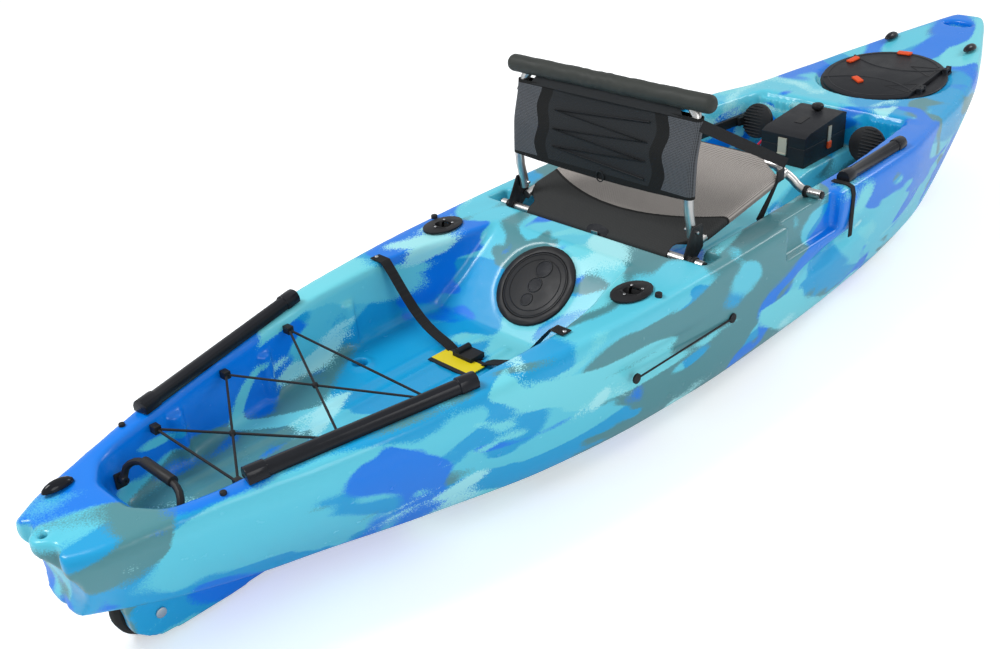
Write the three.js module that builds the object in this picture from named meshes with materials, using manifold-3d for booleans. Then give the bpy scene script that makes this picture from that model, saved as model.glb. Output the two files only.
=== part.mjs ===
// A sit-on-top fishing kayak: a hollow moulded hull with a frame seat, hatches, gear rails and a keel wheel.
// Units are millimetres. +X points to the bow, +Y to port, +Z up. The origin is on the ground, midway
// along the hull.
import * as THREE from "three";
import { mergeVertices } from "three/addons/utils/BufferGeometryUtils.js";
import Module from "manifold-3d";

const wasm = await Module();
wasm.setup();

// ---------------------------------------------------------------- driving dimensions
const HULL_LENGTH = 3840;
const HULL_BEAM = 830;
const HULL_WALL = 5;
const FIT_GAP = 0.3; // between two pieces that touch

const KEEL_Z = 20;
const WELL_FLOOR_Z = 212;
const CONSOLE_FLOOR_Z = 285;

const WHEEL_RADIUS = 75;
const WHEEL_WIDTH = 40;
const WHEEL_HUB_RADIUS = 34;
const AXLE_RADIUS = 6;
const SKEG_HALF_WIDTH = 62;

const RAIL_WIDTH = 34;
const RAIL_HEIGHT = 26;
const RAIL_CAP_LENGTH = 44;
const RAIL_CAP_OVERSIZE = 3;

const REAR_HATCH_RADIUS = 115;
const BOW_HATCH_RADIUS = 210;
const HATCH_RIM_HEIGHT = 8;
const BOW_LID_THICKNESS = 12;

const SEAT_TUBE_RADIUS = 12.5;
const SEAT_HALF_WIDTH = 285; // centre of the side tubes
const SEAT_BACK_TOP_Z = 775;
const STRAP_WIDTH = 30;
const STRAP_THICKNESS = 2.5;

const POD_LENGTH = 250;
const POD_HALF_WIDTH = 79;
const POD_WALL = 3;
const POD_SPLIT_Z = 347;

const TRACK_LENGTH = 400;
const TRACK_HEIGHT = 32;
const TRACK_DEPTH = 12;
const PEDAL_RADIUS = 58;

const CORD_RADIUS = 3;
const ROD_TUBE_RADIUS = 26;
const ROD_TUBE_BORE = 22.5;
const ROD_TUBE_DEPTH = 190;

// Places on the hull are given for a hull of this length and beam, and follow the real ones.
const LOFT_LENGTH = 3840;
const LOFT_BEAM = 830;
const along = (x) => (x * HULL_LENGTH) / LOFT_LENGTH;
const across = (y) => (y * HULL_BEAM) / LOFT_BEAM;

// ---------------------------------------------------------------- small helpers
const mix = (a, b, t) => a + (b - a) * t;
const V = (x, y, z) => new THREE.Vector3(x, y, z);

// A smooth curve through [x, value] stations that never overshoots them.
function fairCurve(stations) {
  const n = stations.length;
  const slope = [];
  for (let i = 0; i < n - 1; i++) {
    const [x0, v0] = stations[i];
    const [x1, v1] = stations[i + 1];
    slope.push((v1 - v0) / (x1 - x0));
  }
  const tangent = stations.map((_, i) => {
    if (i === 0) return slope[0];
    if (i === n - 1) return slope[n - 2];
    const [a, b] = [slope[i - 1], slope[i]];
    return a * b <= 0 ? 0 : (2 * a * b) / (a + b);
  });
  return (x) => {
    if (x <= stations[0][0]) return stations[0][1];
    if (x >= stations[n - 1][0]) return stations[n - 1][1];
    let i = 0;
    while (x > stations[i + 1][0]) i++;
    const [x0, v0] = stations[i];
    const [x1, v1] = stations[i + 1];
    const h = x1 - x0;
    const t = (x - x0) / h;
    const s = 1 - t;
    return (
      v0 * (1 + 2 * t) * s * s +
      v1 * (1 + 2 * s) * t * t +
      h * (tangent[i] * t * s * s - tangent[i + 1] * s * t * t)
    );
  };
}

// The manifold solid of a closed geometry.
function solidOf(geometry) {
  const g = geometry.clone();
  g.deleteAttribute("normal");
  g.deleteAttribute("uv");
  const merged = mergeVertices(g, 1e-4);
  return new wasm.Manifold(
    new wasm.Mesh({
      numProp: 3,
      vertProperties: new Float32Array(merged.attributes.position.array),
      triVerts: new Uint32Array(merged.index.array),
    }),
  );
}

function geometryOf(solid) {
  const mesh = solid.getMesh();
  const g = new THREE.BufferGeometry();
  g.setAttribute("position", new THREE.BufferAttribute(mesh.vertProperties, 3));
  g.setIndex(new THREE.BufferAttribute(mesh.triVerts, 1));
  g.computeVertexNormals();
  return g;
}

const placed = (geometry, matrix) => solidOf(geometry.clone().applyMatrix4(matrix));
const at = (x, y, z) => new THREE.Matrix4().makeTranslation(x, y, z);
const union = (solids) => solids.reduce((all, s) => all.add(s));

// A box between two corners, in an optional frame.
function box(x0, x1, y0, y1, z0, z1, frame = new THREE.Matrix4()) {
  const g = new THREE.BoxGeometry(x1 - x0, y1 - y0, z1 - z0);
  g.translate((x0 + x1) / 2, (y0 + y1) / 2, (z0 + z1) / 2);
  return placed(g, frame);
}

// A round bar from one point to another.
function bar(from, to, radius, sides = 12) {
  const d = to.clone().sub(from);
  const turn = new THREE.Quaternion().setFromUnitVectors(V(0, 1, 0), d.clone().normalize());
  const middle = from.clone().add(to).multiplyScalar(0.5);
  const g = new THREE.CylinderGeometry(radius, radius, d.length(), sides);
  return placed(g, new THREE.Matrix4().compose(middle, turn, V(1, 1, 1)));
}

function ball(centre, radius, sides = 12) {
  return placed(new THREE.SphereGeometry(radius, sides, sides / 2), at(centre.x, centre.y, centre.z));
}

// A round body turned about the z axis of its frame, from [radius, z] points that close on the axis
// or on themselves.
function turned(profile, frame = new THREE.Matrix4(), sides = 36) {
  const g = new THREE.LatheGeometry(profile.map(([r, z]) => new THREE.Vector2(r, z)), sides);
  return placed(g.rotateX(Math.PI / 2), frame);
}

const disc = (radius, z0, z1, frame, sides) =>
  turned([[0, z0], [radius, z0], [radius, z1], [0, z1]], frame, sides);

// A bent tube through points, with fair bends.
function bentTube(points, radius, steps, sides = 12) {
  const section = new THREE.Shape();
  section.absarc(0, 0, radius, 0, 2 * Math.PI);
  const path = new THREE.CatmullRomCurve3(points, false, "catmullrom", 0.5);
  const g = new THREE.ExtrudeGeometry(section, {
    steps,
    curveSegments: sides,
    bevelEnabled: false,
    extrudePath: path,
  });
  return solidOf(g);
}

// A flat outline in the XZ plane, given thickness along Y.
function slabXZ(points, y0, y1) {
  const shape = new THREE.Shape(points.map(([x, z]) => new THREE.Vector2(x, z)));
  const g = new THREE.ExtrudeGeometry(shape, { depth: y1 - y0, bevelEnabled: false });
  g.rotateX(Math.PI / 2);
  return placed(g, at(0, y1, 0));
}

// A flat outline in the YZ plane, given thickness along X.
function slabYZ(points, x0, x1) {
  const shape = new THREE.Shape(points.map(([y, z]) => new THREE.Vector2(y, z)));
  const g = new THREE.ExtrudeGeometry(shape, { depth: x1 - x0, bevelEnabled: false });
  const frame = new THREE.Matrix4().makeBasis(V(0, 1, 0), V(0, 0, 1), V(1, 0, 0));
  return placed(g.applyMatrix4(frame), at(x0, 0, 0));
}

// The outline of a strap that follows a line of [u, v] points, with its thickness on the left side.
function strapOutline(line, thickness) {
  const offset = line.map(([u, v], i) => {
    const [u0, v0] = line[Math.max(i - 1, 0)];
    const [u1, v1] = line[Math.min(i + 1, line.length - 1)];
    const l = Math.hypot(u1 - u0, v1 - v0);
    return [u - ((v1 - v0) / l) * thickness, v + ((u1 - u0) / l) * thickness];
  });
  return [...line, ...offset.reverse()];
}

// The frame of a surface that is pitched about Y: x up the slope, z along the outward normal.
function slopeFrame(x, z, pitchDegrees) {
  const a = THREE.MathUtils.degToRad(pitchDegrees);
  const m = new THREE.Matrix4().makeBasis(
    V(Math.cos(a), 0, Math.sin(a)),
    V(0, 1, 0),
    V(-Math.sin(a), 0, Math.cos(a)),
  );
  return m.setPosition(x, 0, z);
}

// A piece lowered along a direction until it lies FIT_GAP from what carries it.
function settle(piece, carrier, direction = V(0, 0, -1), travel = 60) {
  const moved = (t) => piece.translate([direction.x * t, direction.y * t, direction.z * t]);
  const meets = (t) => moved(t).intersect(carrier).volume() > 1e-3;
  const step = 2;
  let met = step;
  while (met < travel && !meets(met)) met += step;
  let free = met - step;
  for (let i = 0; i < 12; i++) {
    const t = (free + met) / 2;
    if (meets(t)) met = t;
    else free = t;
  }
  return moved(free - FIT_GAP);
}

const port = (solid) => solid.mirror([0, 1, 0]);

// ---------------------------------------------------------------- hull lines
const sheerZ = fairCurve([
  [-1905, 330], [-1600, 358], [-1000, 388], [-500, 398], [0, 404], [500, 410],
  [800, 408], [1000, 402], [1250, 408], [1500, 430], [1700, 458], [1920, 488],
]);
const halfBeam = fairCurve([
  [-1905, 100], [-1850, 132], [-1750, 165], [-1600, 212], [-1400, 280], [-1200, 330], [-900, 378],
  [-600, 404], [-250, 415], [400, 415], [700, 404], [1000, 350], [1200, 318], [1400, 270],
  [1600, 198], [1800, 114], [1890, 74], [1920, 50],
]);
const chineHalf = fairCurve([
  [-1905, 72], [-1700, 110], [-1470, 150], [-1180, 235], [-860, 330], [-570, 375], [-230, 394],
  [100, 390], [450, 372], [900, 320], [1200, 255], [1450, 185], [1650, 125], [1800, 82], [1920, 40],
]);
const chineZ = fairCurve([
  [-1905, 185], [-1700, 130], [-1450, 90], [-1100, 72], [600, 72], [1000, 82], [1250, 108],
  [1450, 145], [1650, 205], [1800, 285], [1920, 445],
]);
const keelZ = fairCurve([
  [-1905, 165], [-1800, 122], [-1650, 72], [-1450, 32], [-1200, KEEL_Z], [900, KEEL_Z], [1150, 34],
  [1400, 72], [1600, 130], [1720, 195], [1820, 290], [1880, 385], [1920, 436],
]);

// Wells in the deck: the tankwell, the cockpit, and the two footwells beside the console.
const wellDepth = fairCurve([
  [-1752, 0], [-1742, 0.05], [-1690, 0.9], [-1660, 1], [-655, 1], [-640, 0.93], [-450, 0.05], [-432, 0],
  [-338, 0], [-330, 0.04], [-308, 0.95], [-298, 1], [884, 1], [893, 0.97], [925, 0.06], [936, 0],
]);
const wellTop = fairCurve([
  [-1905, 60], [-1750, 60], [-1715, 112], [-1660, 142], [-1560, 168], [-1400, 210], [-1200, 250],
  [-1000, 286], [-780, 296], [-660, 280], [-560, 252], [-440, 235], [-340, 290], [-290, 318],
  [400, 318], [880, 276], [930, 268], [1200, 230], [1500, 160], [1700, 100], [1920, 22],
]);
const WELL_WALL_LEAN = 16; // how far the foot of a well's wall lies inside its top
const consoleRise = fairCurve([
  [300, 0], [420, 0.25], [600, 0.97], [625, 1], [1000, 1],
]);
const CONSOLE_TOP_HALF = 100;
const CONSOLE_FOOT_HALF = 122;

const EDGE_ROLL = 20; // width of the rounded edge where the side meets the deck

// Half of the hull's section at x, from the keel out and over the edge to the middle of the deck.
function halfSection(x) {
  const [zs, b, bc, zc, zk] = [sheerZ(x), halfBeam(x), chineHalf(x), chineZ(x), keelZ(x)];
  const depth = wellDepth(x);
  const inner = b - EDGE_ROLL;
  const edge = Math.min(1, (zs - zc) / 110);
  const top = Math.min(wellTop(x), inner * 0.86);
  const foot = Math.max(top - WELL_WALL_LEAN, top * 0.7);
  const ease = Math.min(1, top / 120);
  const floor = mix(zs, WELL_FLOOR_Z, depth);
  const hump = mix(floor, mix(zs, CONSOLE_FLOOR_Z, depth), consoleRise(x) * Math.min(1, depth * 4));
  const humpFoot = Math.min(CONSOLE_FOOT_HALF, foot * 0.6);
  const humpTop = Math.min(CONSOLE_TOP_HALF, humpFoot * 0.82);
  return [
    [0, zk],
    [bc * 0.5, mix(zk, zc, 0.12)],
    [bc * 0.88, mix(zk, zc, 0.6)],
    [bc, zc + 6],
    [mix(bc, b, 0.6), mix(zc, zs, 0.42)],
    [b - 1, mix(zc, zs, 0.76)],
    [b, zs - 22 * edge],
    [b - 6, zs - 6 * edge],
    [inner, zs],
    [top + 4 * ease, zs - 0.02 * (zs - floor)],
    [top - 4 * ease, mix(zs, floor, 0.12)],
    [foot + 3 * ease, mix(zs, floor, 0.88)],
    [foot - 9 * ease, floor],
    [humpFoot, floor],
    [humpTop, hump],
    [0, hump],
  ];
}

const STATIONS = [
  -1905, -1870, -1810, -1752, -1742, -1690, -1660, -1560, -1420, -1260, -1090, -930, -780, -655,
  -640, -545, -450, -432, -385, -338, -330, -308, -298, -150, 60, 270, 420, 520, 600, 625, 740,
  884, 893, 925, 936, 1040, 1180, 1320, 1450, 1570, 1680, 1780, 1860, 1895, 1920,
];

// The closed ring of points round the hull at each station, port side first.
function hullRings() {
  return STATIONS.map((x) => {
    const half = halfSection(x).map(([y, z]) => [across(y), z]);
    const far = half.slice(1, -1).reverse();
    return [...half, ...far.map(([y, z]) => [-y, z])].map(([y, z]) => V(along(x), y, z));
  });
}

// A closed skin over rings of points, with flat ends.
function skin(rings) {
  const n = rings[0].length;
  const positions = rings.flat().flatMap((p) => [p.x, p.y, p.z]);
  const index = [];
  for (let i = 0; i < rings.length - 1; i++) {
    for (let j = 0; j < n; j++) {
      const k = (j + 1) % n;
      const [a, b, c, d] = [i * n + j, i * n + k, (i + 1) * n + k, (i + 1) * n + j];
      index.push(a, b, c, a, c, d);
    }
  }
  for (const [i, flip] of [[0, true], [rings.length - 1, false]]) {
    const middle = rings[i].reduce((sum, p) => sum.add(p), V(0, 0, 0)).divideScalar(n);
    const m = positions.push(middle.x, middle.y, middle.z) / 3 - 1;
    for (let j = 0; j < n; j++) {
      const [a, b] = [i * n + j, i * n + ((j + 1) % n)];
      index.push(m, flip ? b : a, flip ? a : b);
    }
  }
  const g = new THREE.BufferGeometry();
  g.setAttribute("position", new THREE.Float32BufferAttribute(positions, 3));
  g.setIndex(index);
  return g;
}

// The rings moved inwards by the wall, with the end stations left out, so the ends are solid.
function innerRings(rings) {
  const n = rings[0].length;
  const moved = rings.map((ringPoints, i) =>
    ringPoints.map((p, j) => {
      const lengthwise = rings[Math.min(i + 1, rings.length - 1)][j]
        .clone()
        .sub(rings[Math.max(i - 1, 0)][j]);
      const round = ringPoints[(j + 1) % n].clone().sub(ringPoints[(j + n - 1) % n]);
      return p.clone().addScaledVector(lengthwise.cross(round).normalize(), HULL_WALL);
    }),
  );
  return moved.slice(1, -2);
}

// ---------------------------------------------------------------- colours and finishes
const finish = (color, roughness, metalness = 0) =>
  new THREE.MeshStandardMaterial({ color, roughness, metalness });
const MOULDED_HULL = () => finish(0x2fa9d6, 0.35);
const BLACK_MOULDING = () => finish(0x15161a, 0.45);
const BLACK_RUBBER = () => finish(0x101012, 0.75);
const TUBE_ALUMINIUM = () => finish(0xc4c8cc, 0.3, 0.9);
const STEEL = () => finish(0x9a9ca0, 0.35, 0.9);
const MESH_FABRIC = () => finish(0x8f8a86, 0.85);
const DARK_FABRIC = () => finish(0x2a2d31, 0.9);
const WEBBING = () => finish(0x0e0e10, 0.8);
const ORANGE_MOULDING = () => finish(0xe5541c, 0.4);
const GREY_MOULDING = () => finish(0x8c8a80, 0.5);

const kayak = new THREE.Group();
function addPiece(name, solid, material) {
  const mesh = new THREE.Mesh(geometryOf(solid), material());
  mesh.name = name;
  kayak.add(mesh);
  return solid;
}

// ---------------------------------------------------------------- hull
const rings = hullRings();
let outer = solidOf(skin(rings));
let cavity = solidOf(skin(innerRings(rings)));
const linings = [];
const cuts = [];

// A flat round land for a hatch, with its hole.
function hatchLand(frame, radius, hole) {
  const above = 60;
  const below = HULL_WALL + 3;
  outer = outer.add(disc(radius, -below, 0, frame)).subtract(disc(radius, 0, above, frame));
  cavity = cavity.subtract(disc(radius + HULL_WALL, -below, above, frame));
  cuts.push(disc(hole, -above, above, frame));
}

// A hole whose wall closes the hollow hull round it.
function linedCut(liner, cut) {
  linings.push(liner);
  cuts.push(cut);
}

// The skeg under the stern, with the slot of the keel wheel.
const WHEEL_X = along(-1736);
const SKEG_PROFILE = [
  [-1808, 150], [-1796, 56], [-1766, 29], [-1740, 17], [-1697, 12], [-1580, 11],
  [-1430, 18], [-1400, 60], [-1430, 110], [-1790, 175],
];
outer = outer.add(
  slabXZ(SKEG_PROFILE.map(([x, z]) => [along(x), z]), -SKEG_HALF_WIDTH, SKEG_HALF_WIDTH),
);
const wheelCentre = (y) => V(WHEEL_X, y, WHEEL_RADIUS);
const wheelSpace = (clearance) => {
  const half = WHEEL_WIDTH / 2 + clearance;
  return bar(wheelCentre(-half), wheelCentre(half), WHEEL_RADIUS + clearance, 24);
};
const SLOT_CLEARANCE = 6;
linedCut(wheelSpace(SLOT_CLEARANCE + HULL_WALL), wheelSpace(SLOT_CLEARANCE));
cuts.push(box(along(-1840), WHEEL_X, -WHEEL_WIDTH / 2 - SLOT_CLEARANCE,
  WHEEL_WIDTH / 2 + SLOT_CLEARANCE, -10, WHEEL_RADIUS));
cuts.push(bar(wheelCentre(-90), wheelCentre(90), AXLE_RADIUS + FIT_GAP));

// Scuppers drain the wells through the hull.
const SCUPPER_BORE = 16;
for (const [x, y] of [[-980, 190], [60, 210], [520, 215]]) {
  for (const side of [1, -1]) {
    const pipe = (r) => bar(V(along(x), across(y * side), -10), V(along(x), across(y * side), 216), r, 10);
    linedCut(pipe(SCUPPER_BORE + HULL_WALL), pipe(SCUPPER_BORE));
  }
}

// The bow's carrying slot and the stern's lug, with a notch on each side of it.
const BOW_SLOT_X = along(1828);
function bowSlot(extra) {
  const shape = new THREE.Shape();
  shape.absellipse(0, 0, 25 + extra, 54 + extra, 0, 2 * Math.PI);
  const g = new THREE.ExtrudeGeometry(shape, { depth: 320, bevelEnabled: false, curveSegments: 12 });
  return placed(g, at(BOW_SLOT_X, 0, 220));
}
linedCut(bowSlot(HULL_WALL), bowSlot(0));
const LUG_RADIUS = 27;
const LUG_TOP_Z = 336;
const lugX = -HULL_LENGTH / 2 + LUG_RADIUS;
for (const side of [1, -1]) {
  cuts.push(bar(V(lugX - 20, side * 52, 100), V(lugX - 20, side * 52, 400), 24));
}
const lug = bar(V(lugX, 0, LUG_TOP_Z - 64), V(lugX, 0, LUG_TOP_Z), LUG_RADIUS, 20);
const lugHole = bar(V(lugX, 0, 100), V(lugX, 0, 400), 9, 12);

// Hand holds in the edge beside the seat, and the ledges that carry the seat's rear bar.
const HAND_HOLD = { x0: along(-6), x1: along(262), depth: 17, z0: 300 };
const SEAT_BAR_X = along(-290);
const SEAT_BAR_HALF = across(345);
const LEDGE_Z = 362;
const ledgeInner = across(wellTop(-340)) - 6;
for (const side of [1, -1]) {
  const sided = (s) => (side > 0 ? s : port(s));
  const hold = (e) => sided(
    box(HAND_HOLD.x0 - e, HAND_HOLD.x1 + e, HULL_BEAM / 2 - HAND_HOLD.depth - e, HULL_BEAM,
      HAND_HOLD.z0 - e, 450),
  );
  linedCut(hold(HULL_WALL), hold(0));
  const ledge = (e) => sided(
    box(SEAT_BAR_X - 35 - e, SEAT_BAR_X + 38 + e, ledgeInner, SEAT_BAR_HALF + 25 + e, LEDGE_Z - e, 450),
  );
  linedCut(ledge(HULL_WALL), ledge(0));
}

// Rod holder holes in the deck beside the rear hatch.
const ROD_HOLDER = { x: along(-550), y: across(322), lean: 12, flange: 5 };
const rodFrame = (z) => {
  const m = new THREE.Matrix4().makeRotationY(THREE.MathUtils.degToRad(ROD_HOLDER.lean));
  return m.setPosition(ROD_HOLDER.x, ROD_HOLDER.y, z);
};
for (const side of [1, -1]) {
  const hole = disc(ROD_TUBE_RADIUS + 3, -60, 60, rodFrame(sheerZ(-550)), 20);
  cuts.push(side > 0 ? hole : port(hole));
}

const LAND_MARGIN = 18;
const rearHatchFrame = slopeFrame(along(-535), 310, 40);
const bowHatchFrame = slopeFrame(along(1270), 402, 7);
hatchLand(rearHatchFrame, REAR_HATCH_RADIUS + 6, REAR_HATCH_RADIUS - 15);
hatchLand(bowHatchFrame, BOW_HATCH_RADIUS + LAND_MARGIN, BOW_HATCH_RADIUS - 40);

const lined = union(linings).intersect(outer);
let hull = outer.subtract(cavity).add(lined).subtract(union(cuts));
hull = hull.add(lug).subtract(lugHole);
addPiece("hull", hull, MOULDED_HULL);

// A copy of the hull's upper part round a place, small enough to settle pieces on.
const hullNear = (x0, x1, y0, y1) => hull.intersect(box(x0, x1, y0, y1, 60, 520));

// Adds a piece and its mirror image, and returns the port one.
function addPair(name, solid, material) {
  addPiece(name + "_port", solid, material);
  addPiece(name + "_starboard", port(solid), material);
  return solid;
}

// ---------------------------------------------------------------- keel wheel
const hubBar = (r) => bar(wheelCentre(-WHEEL_WIDTH / 2), wheelCentre(WHEEL_WIDTH / 2), r, 24);
const wheelFrame = new THREE.Matrix4()
  .makeRotationX(Math.PI / 2)
  .setPosition(WHEEL_X, 0, WHEEL_RADIUS);
const [wr, wh] = [WHEEL_RADIUS, WHEEL_WIDTH / 2];
addPiece("wheel_tyre", turned([
  [WHEEL_HUB_RADIUS + FIT_GAP, -wh], [wr - 10, -wh], [wr - 3, -wh + 5], [wr, -wh + 12],
  [wr, wh - 12], [wr - 3, wh - 5], [wr - 10, wh], [WHEEL_HUB_RADIUS + FIT_GAP, wh],
  [WHEEL_HUB_RADIUS + FIT_GAP, -wh],
], wheelFrame, 32), BLACK_RUBBER);
addPiece("wheel_hub", hubBar(WHEEL_HUB_RADIUS).subtract(hubBar(AXLE_RADIUS + FIT_GAP)), GREY_MOULDING);
const cheek = SKEG_HALF_WIDTH + FIT_GAP;
addPiece("wheel_axle", union([
  bar(wheelCentre(-cheek - 2), wheelCentre(cheek + 2), AXLE_RADIUS),
  bar(wheelCentre(-cheek - 4), wheelCentre(-cheek), 12),
  bar(wheelCentre(cheek), wheelCentre(cheek + 4), 12),
]), STEEL);

// ---------------------------------------------------------------- gear rails
function railProfile(e) {
  const [w, h] = [RAIL_WIDTH / 2 + e, RAIL_HEIGHT + e];
  return [[-w, 0], [w, 0], [w, h * 0.46], [w * 0.7, h * 0.85], [w * 0.24, h], [-w * 0.24, h],
    [-w * 0.7, h * 0.85], [-w, h * 0.46]];
}
function rail(name, from, to) {
  const length = from.distanceTo(to);
  const direction = to.clone().sub(from).normalize();
  const sideways = V(0, 0, 1).cross(direction).normalize();
  const frame = new THREE.Matrix4().makeBasis(sideways, direction.clone().cross(sideways), direction);
  frame.setPosition(from);
  const stretch = (e, start, end) => {
    const shape = new THREE.Shape(railProfile(e).map(([u, v]) => new THREE.Vector2(u, v)));
    const g = new THREE.ExtrudeGeometry(shape, { depth: end - start, bevelEnabled: false });
    return placed(g.translate(0, 0, start), frame);
  };
  const half = RAIL_CAP_LENGTH / 2;
  const body = union([
    stretch(0, 0, length),
    stretch(RAIL_CAP_OVERSIZE, -half, half),
    stretch(RAIL_CAP_OVERSIZE, length - half, length + half),
  ]).translate([0, 0, 20]);
  const place = hullNear(from.x - 60, to.x + 60, 0, HULL_BEAM);
  return addPair(name, settle(body, place), BLACK_MOULDING);
}
const onDeck = (x, y) => V(along(x), across(y), sheerZ(x));
rail("rear_rail", onDeck(-1545, 194), onDeck(-1084, 306));
rail("front_rail", onDeck(351, 374), onDeck(662, 366));

// ---------------------------------------------------------------- rod holders
const flangeShape = new THREE.Shape();
flangeShape.absellipse(0, 0, 62, 44, 0, 2 * Math.PI);
const flange = placed(
  new THREE.ExtrudeGeometry(flangeShape, {
    depth: ROD_HOLDER.flange,
    bevelEnabled: false,
    curveSegments: 10,
  }),
  at(ROD_HOLDER.x, ROD_HOLDER.y, 0),
);
const rodTop = sheerZ(-550) + 1;
const rodHolder = flange
  .translate([0, 0, rodTop])
  .add(disc(ROD_TUBE_RADIUS, -ROD_TUBE_DEPTH, 3, rodFrame(rodTop), 20))
  .subtract(disc(ROD_TUBE_BORE, -ROD_TUBE_DEPTH + 4, 30, rodFrame(rodTop), 20))
  .translate([0, 0, 6]);
addPair("rod_holder",
  settle(rodHolder, hullNear(ROD_HOLDER.x - 100, ROD_HOLDER.x + 100, 150, HULL_BEAM)), BLACK_MOULDING);

// ---------------------------------------------------------------- bungee lacing over the tankwell
const EYE_STATIONS = [-1135, -1345, -1560];
const EYE_DROP = 26;
const eyePlace = (x, side) =>
  V(along(x), side * (across(wellTop(x)) - 20), sheerZ(x) - EYE_DROP);
function lacing(radius) {
  const [front, middle, rear] = EYE_STATIONS;
  const corners = [
    eyePlace(front, 1), eyePlace(front, -1), eyePlace(middle, 1), eyePlace(rear, -1),
    eyePlace(rear, 1), eyePlace(middle, -1),
  ];
  const runs = corners.map((p, i) => bar(p, corners[(i + 1) % corners.length], radius, 6));
  return union([...runs, ...corners.map((p) => ball(p, radius * 1.2, 6))]);
}
// The clip where two runs of the cord cross.
const crossing = (x0, x1) => {
  const [a, b] = [eyePlace(x0, 1), eyePlace(x1, -1)];
  return ball(a.clone().lerp(b, a.y / (a.y - b.y)), 8, 8);
};
addPiece("bungee_lacing", union([
  lacing(CORD_RADIUS), crossing(EYE_STATIONS[0], EYE_STATIONS[1]), crossing(EYE_STATIONS[1], EYE_STATIONS[2]),
]), BLACK_RUBBER);
EYE_STATIONS.forEach((x, i) => {
  const p = eyePlace(x, 1);
  const block = box(p.x - 8, p.x + 8, p.y - 8, p.y + 9, p.z - 9, p.z + 9);
  const place = hullNear(p.x - 40, p.x + 40, 0, HULL_BEAM);
  const seated = settle(block, place, V(0, 1, 0), 30);
  const eye = block.add(seated).subtract(lacing(CORD_RADIUS + FIT_GAP));
  addPair("bungee_eye_" + (i + 1), eye, BLACK_MOULDING);
});

// ---------------------------------------------------------------- tie-down strap in the tankwell
const STRAP_X = along(-789);
const rim = across(wellTop(-789));
const strapTop = sheerZ(-789) + 1;
const strapFloor = WELL_FLOOR_Z + FIT_GAP;
addPiece("tie_down_strap", slabYZ(strapOutline([
  [-rim - 32, strapTop], [-rim + 8, strapTop], [-50, strapFloor], [50, strapFloor],
  [rim - 8, strapTop], [rim + 32, strapTop],
], STRAP_THICKNESS), STRAP_X - STRAP_WIDTH / 2, STRAP_X + STRAP_WIDTH / 2), WEBBING);
const buckleZ = strapFloor + STRAP_THICKNESS + FIT_GAP;
addPiece("strap_buckle", box(STRAP_X - 24, STRAP_X + 24, -32, 32, buckleZ, buckleZ + 14)
  .add(bar(V(STRAP_X - 22, 18, buckleZ + 16), V(STRAP_X + 22, 18, buckleZ + 16), 9, 12)), BLACK_MOULDING);

// ---------------------------------------------------------------- rear hatch
const [rr, rh] = [REAR_HATCH_RADIUS, HATCH_RIM_HEIGHT];
const REAR_LID_RADIUS = rr - 21;
addPiece("rear_hatch_frame", turned([
  [rr - 27, -14], [rr - 16, -14], [rr - 16, FIT_GAP], [rr, FIT_GAP], [rr, rh - 2], [rr - 3, rh],
  [REAR_LID_RADIUS + 2 * FIT_GAP, rh], [REAR_LID_RADIUS + 2 * FIT_GAP, -9], [rr - 27, -9], [rr - 27, -14],
], rearHatchFrame), BLACK_MOULDING);
addPiece("rear_hatch_lid", disc(REAR_LID_RADIUS, -9 + FIT_GAP, rh - 0.5, rearHatchFrame), BLACK_MOULDING);

// ---------------------------------------------------------------- bow hatch
const br = BOW_HATCH_RADIUS;
const HATCH_NECK = br - 45;
const HINGE_Y = -172;
const HINGE_Z = HATCH_RIM_HEIGHT + 10.5;
const HINGE_LUGS = [118, -65];
const LID_CUT_Y = HINGE_Y + 12;
const lidBase = HATCH_RIM_HEIGHT + FIT_GAP;
const lidTop = lidBase + BOW_LID_THICKNESS;
const inBow = (s) => s.transform(bowHatchFrame.elements);
const alongHinge = (x0, x1, r) => bar(V(x0, HINGE_Y, HINGE_Z), V(x1, HINGE_Y, HINGE_Z), r, 14);
let bowFrame = turned([
  [HATCH_NECK, -14], [HATCH_NECK + 4, -14], [HATCH_NECK + 4, FIT_GAP], [br + 2, FIT_GAP],
  [br + 2, rh - 2], [br - 1, rh], [HATCH_NECK, rh], [HATCH_NECK, -14],
]);
let bowLid = turned([
  [0, lidBase], [HATCH_NECK - 8, lidBase], [HATCH_NECK - 8, 1], [HATCH_NECK - 1, 1],
  [HATCH_NECK - 1, lidBase], [br - 6, lidBase], [br - 4, lidBase + 3], [br - 5, lidTop - 4],
  [br - 12, lidTop], [0, lidTop],
], undefined, 48).subtract(box(-br, br, -br, LID_CUT_Y, 0, 60));
for (const x of HINGE_LUGS) {
  bowFrame = union([
    bowFrame,
    box(x - 18, x + 18, HINGE_Y - 10, HINGE_Y + 10, FIT_GAP, rh),
    box(x - 18, x - 10, HINGE_Y - 8, HINGE_Y + 8, rh - 1, HINGE_Z + 7),
    box(x + 10, x + 18, HINGE_Y - 8, HINGE_Y + 8, rh - 1, HINGE_Z + 7),
  ]).subtract(alongHinge(x - 20, x + 20, 3 + FIT_GAP));
  bowLid = union([
    bowLid,
    alongHinge(x - 9, x + 9, 8),
    box(x - 9, x + 9, HINGE_Y, LID_CUT_Y + 2, lidBase + 3, lidTop),
  ]).subtract(alongHinge(x - 20, x + 20, 3 + FIT_GAP));
}
addPiece("bow_hatch_frame", inBow(bowFrame), BLACK_MOULDING);
addPiece("bow_hatch_lid", inBow(bowLid), BLACK_MOULDING);
HINGE_LUGS.forEach((x, i) => {
  addPiece("bow_hatch_pin_" + (i + 1), inBow(alongHinge(x - 19, x + 19, 3)), STEEL);
});
const LATCHES = [[62, 152, 80], [185, 17, 5], [-90, 50, 145]];
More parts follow.
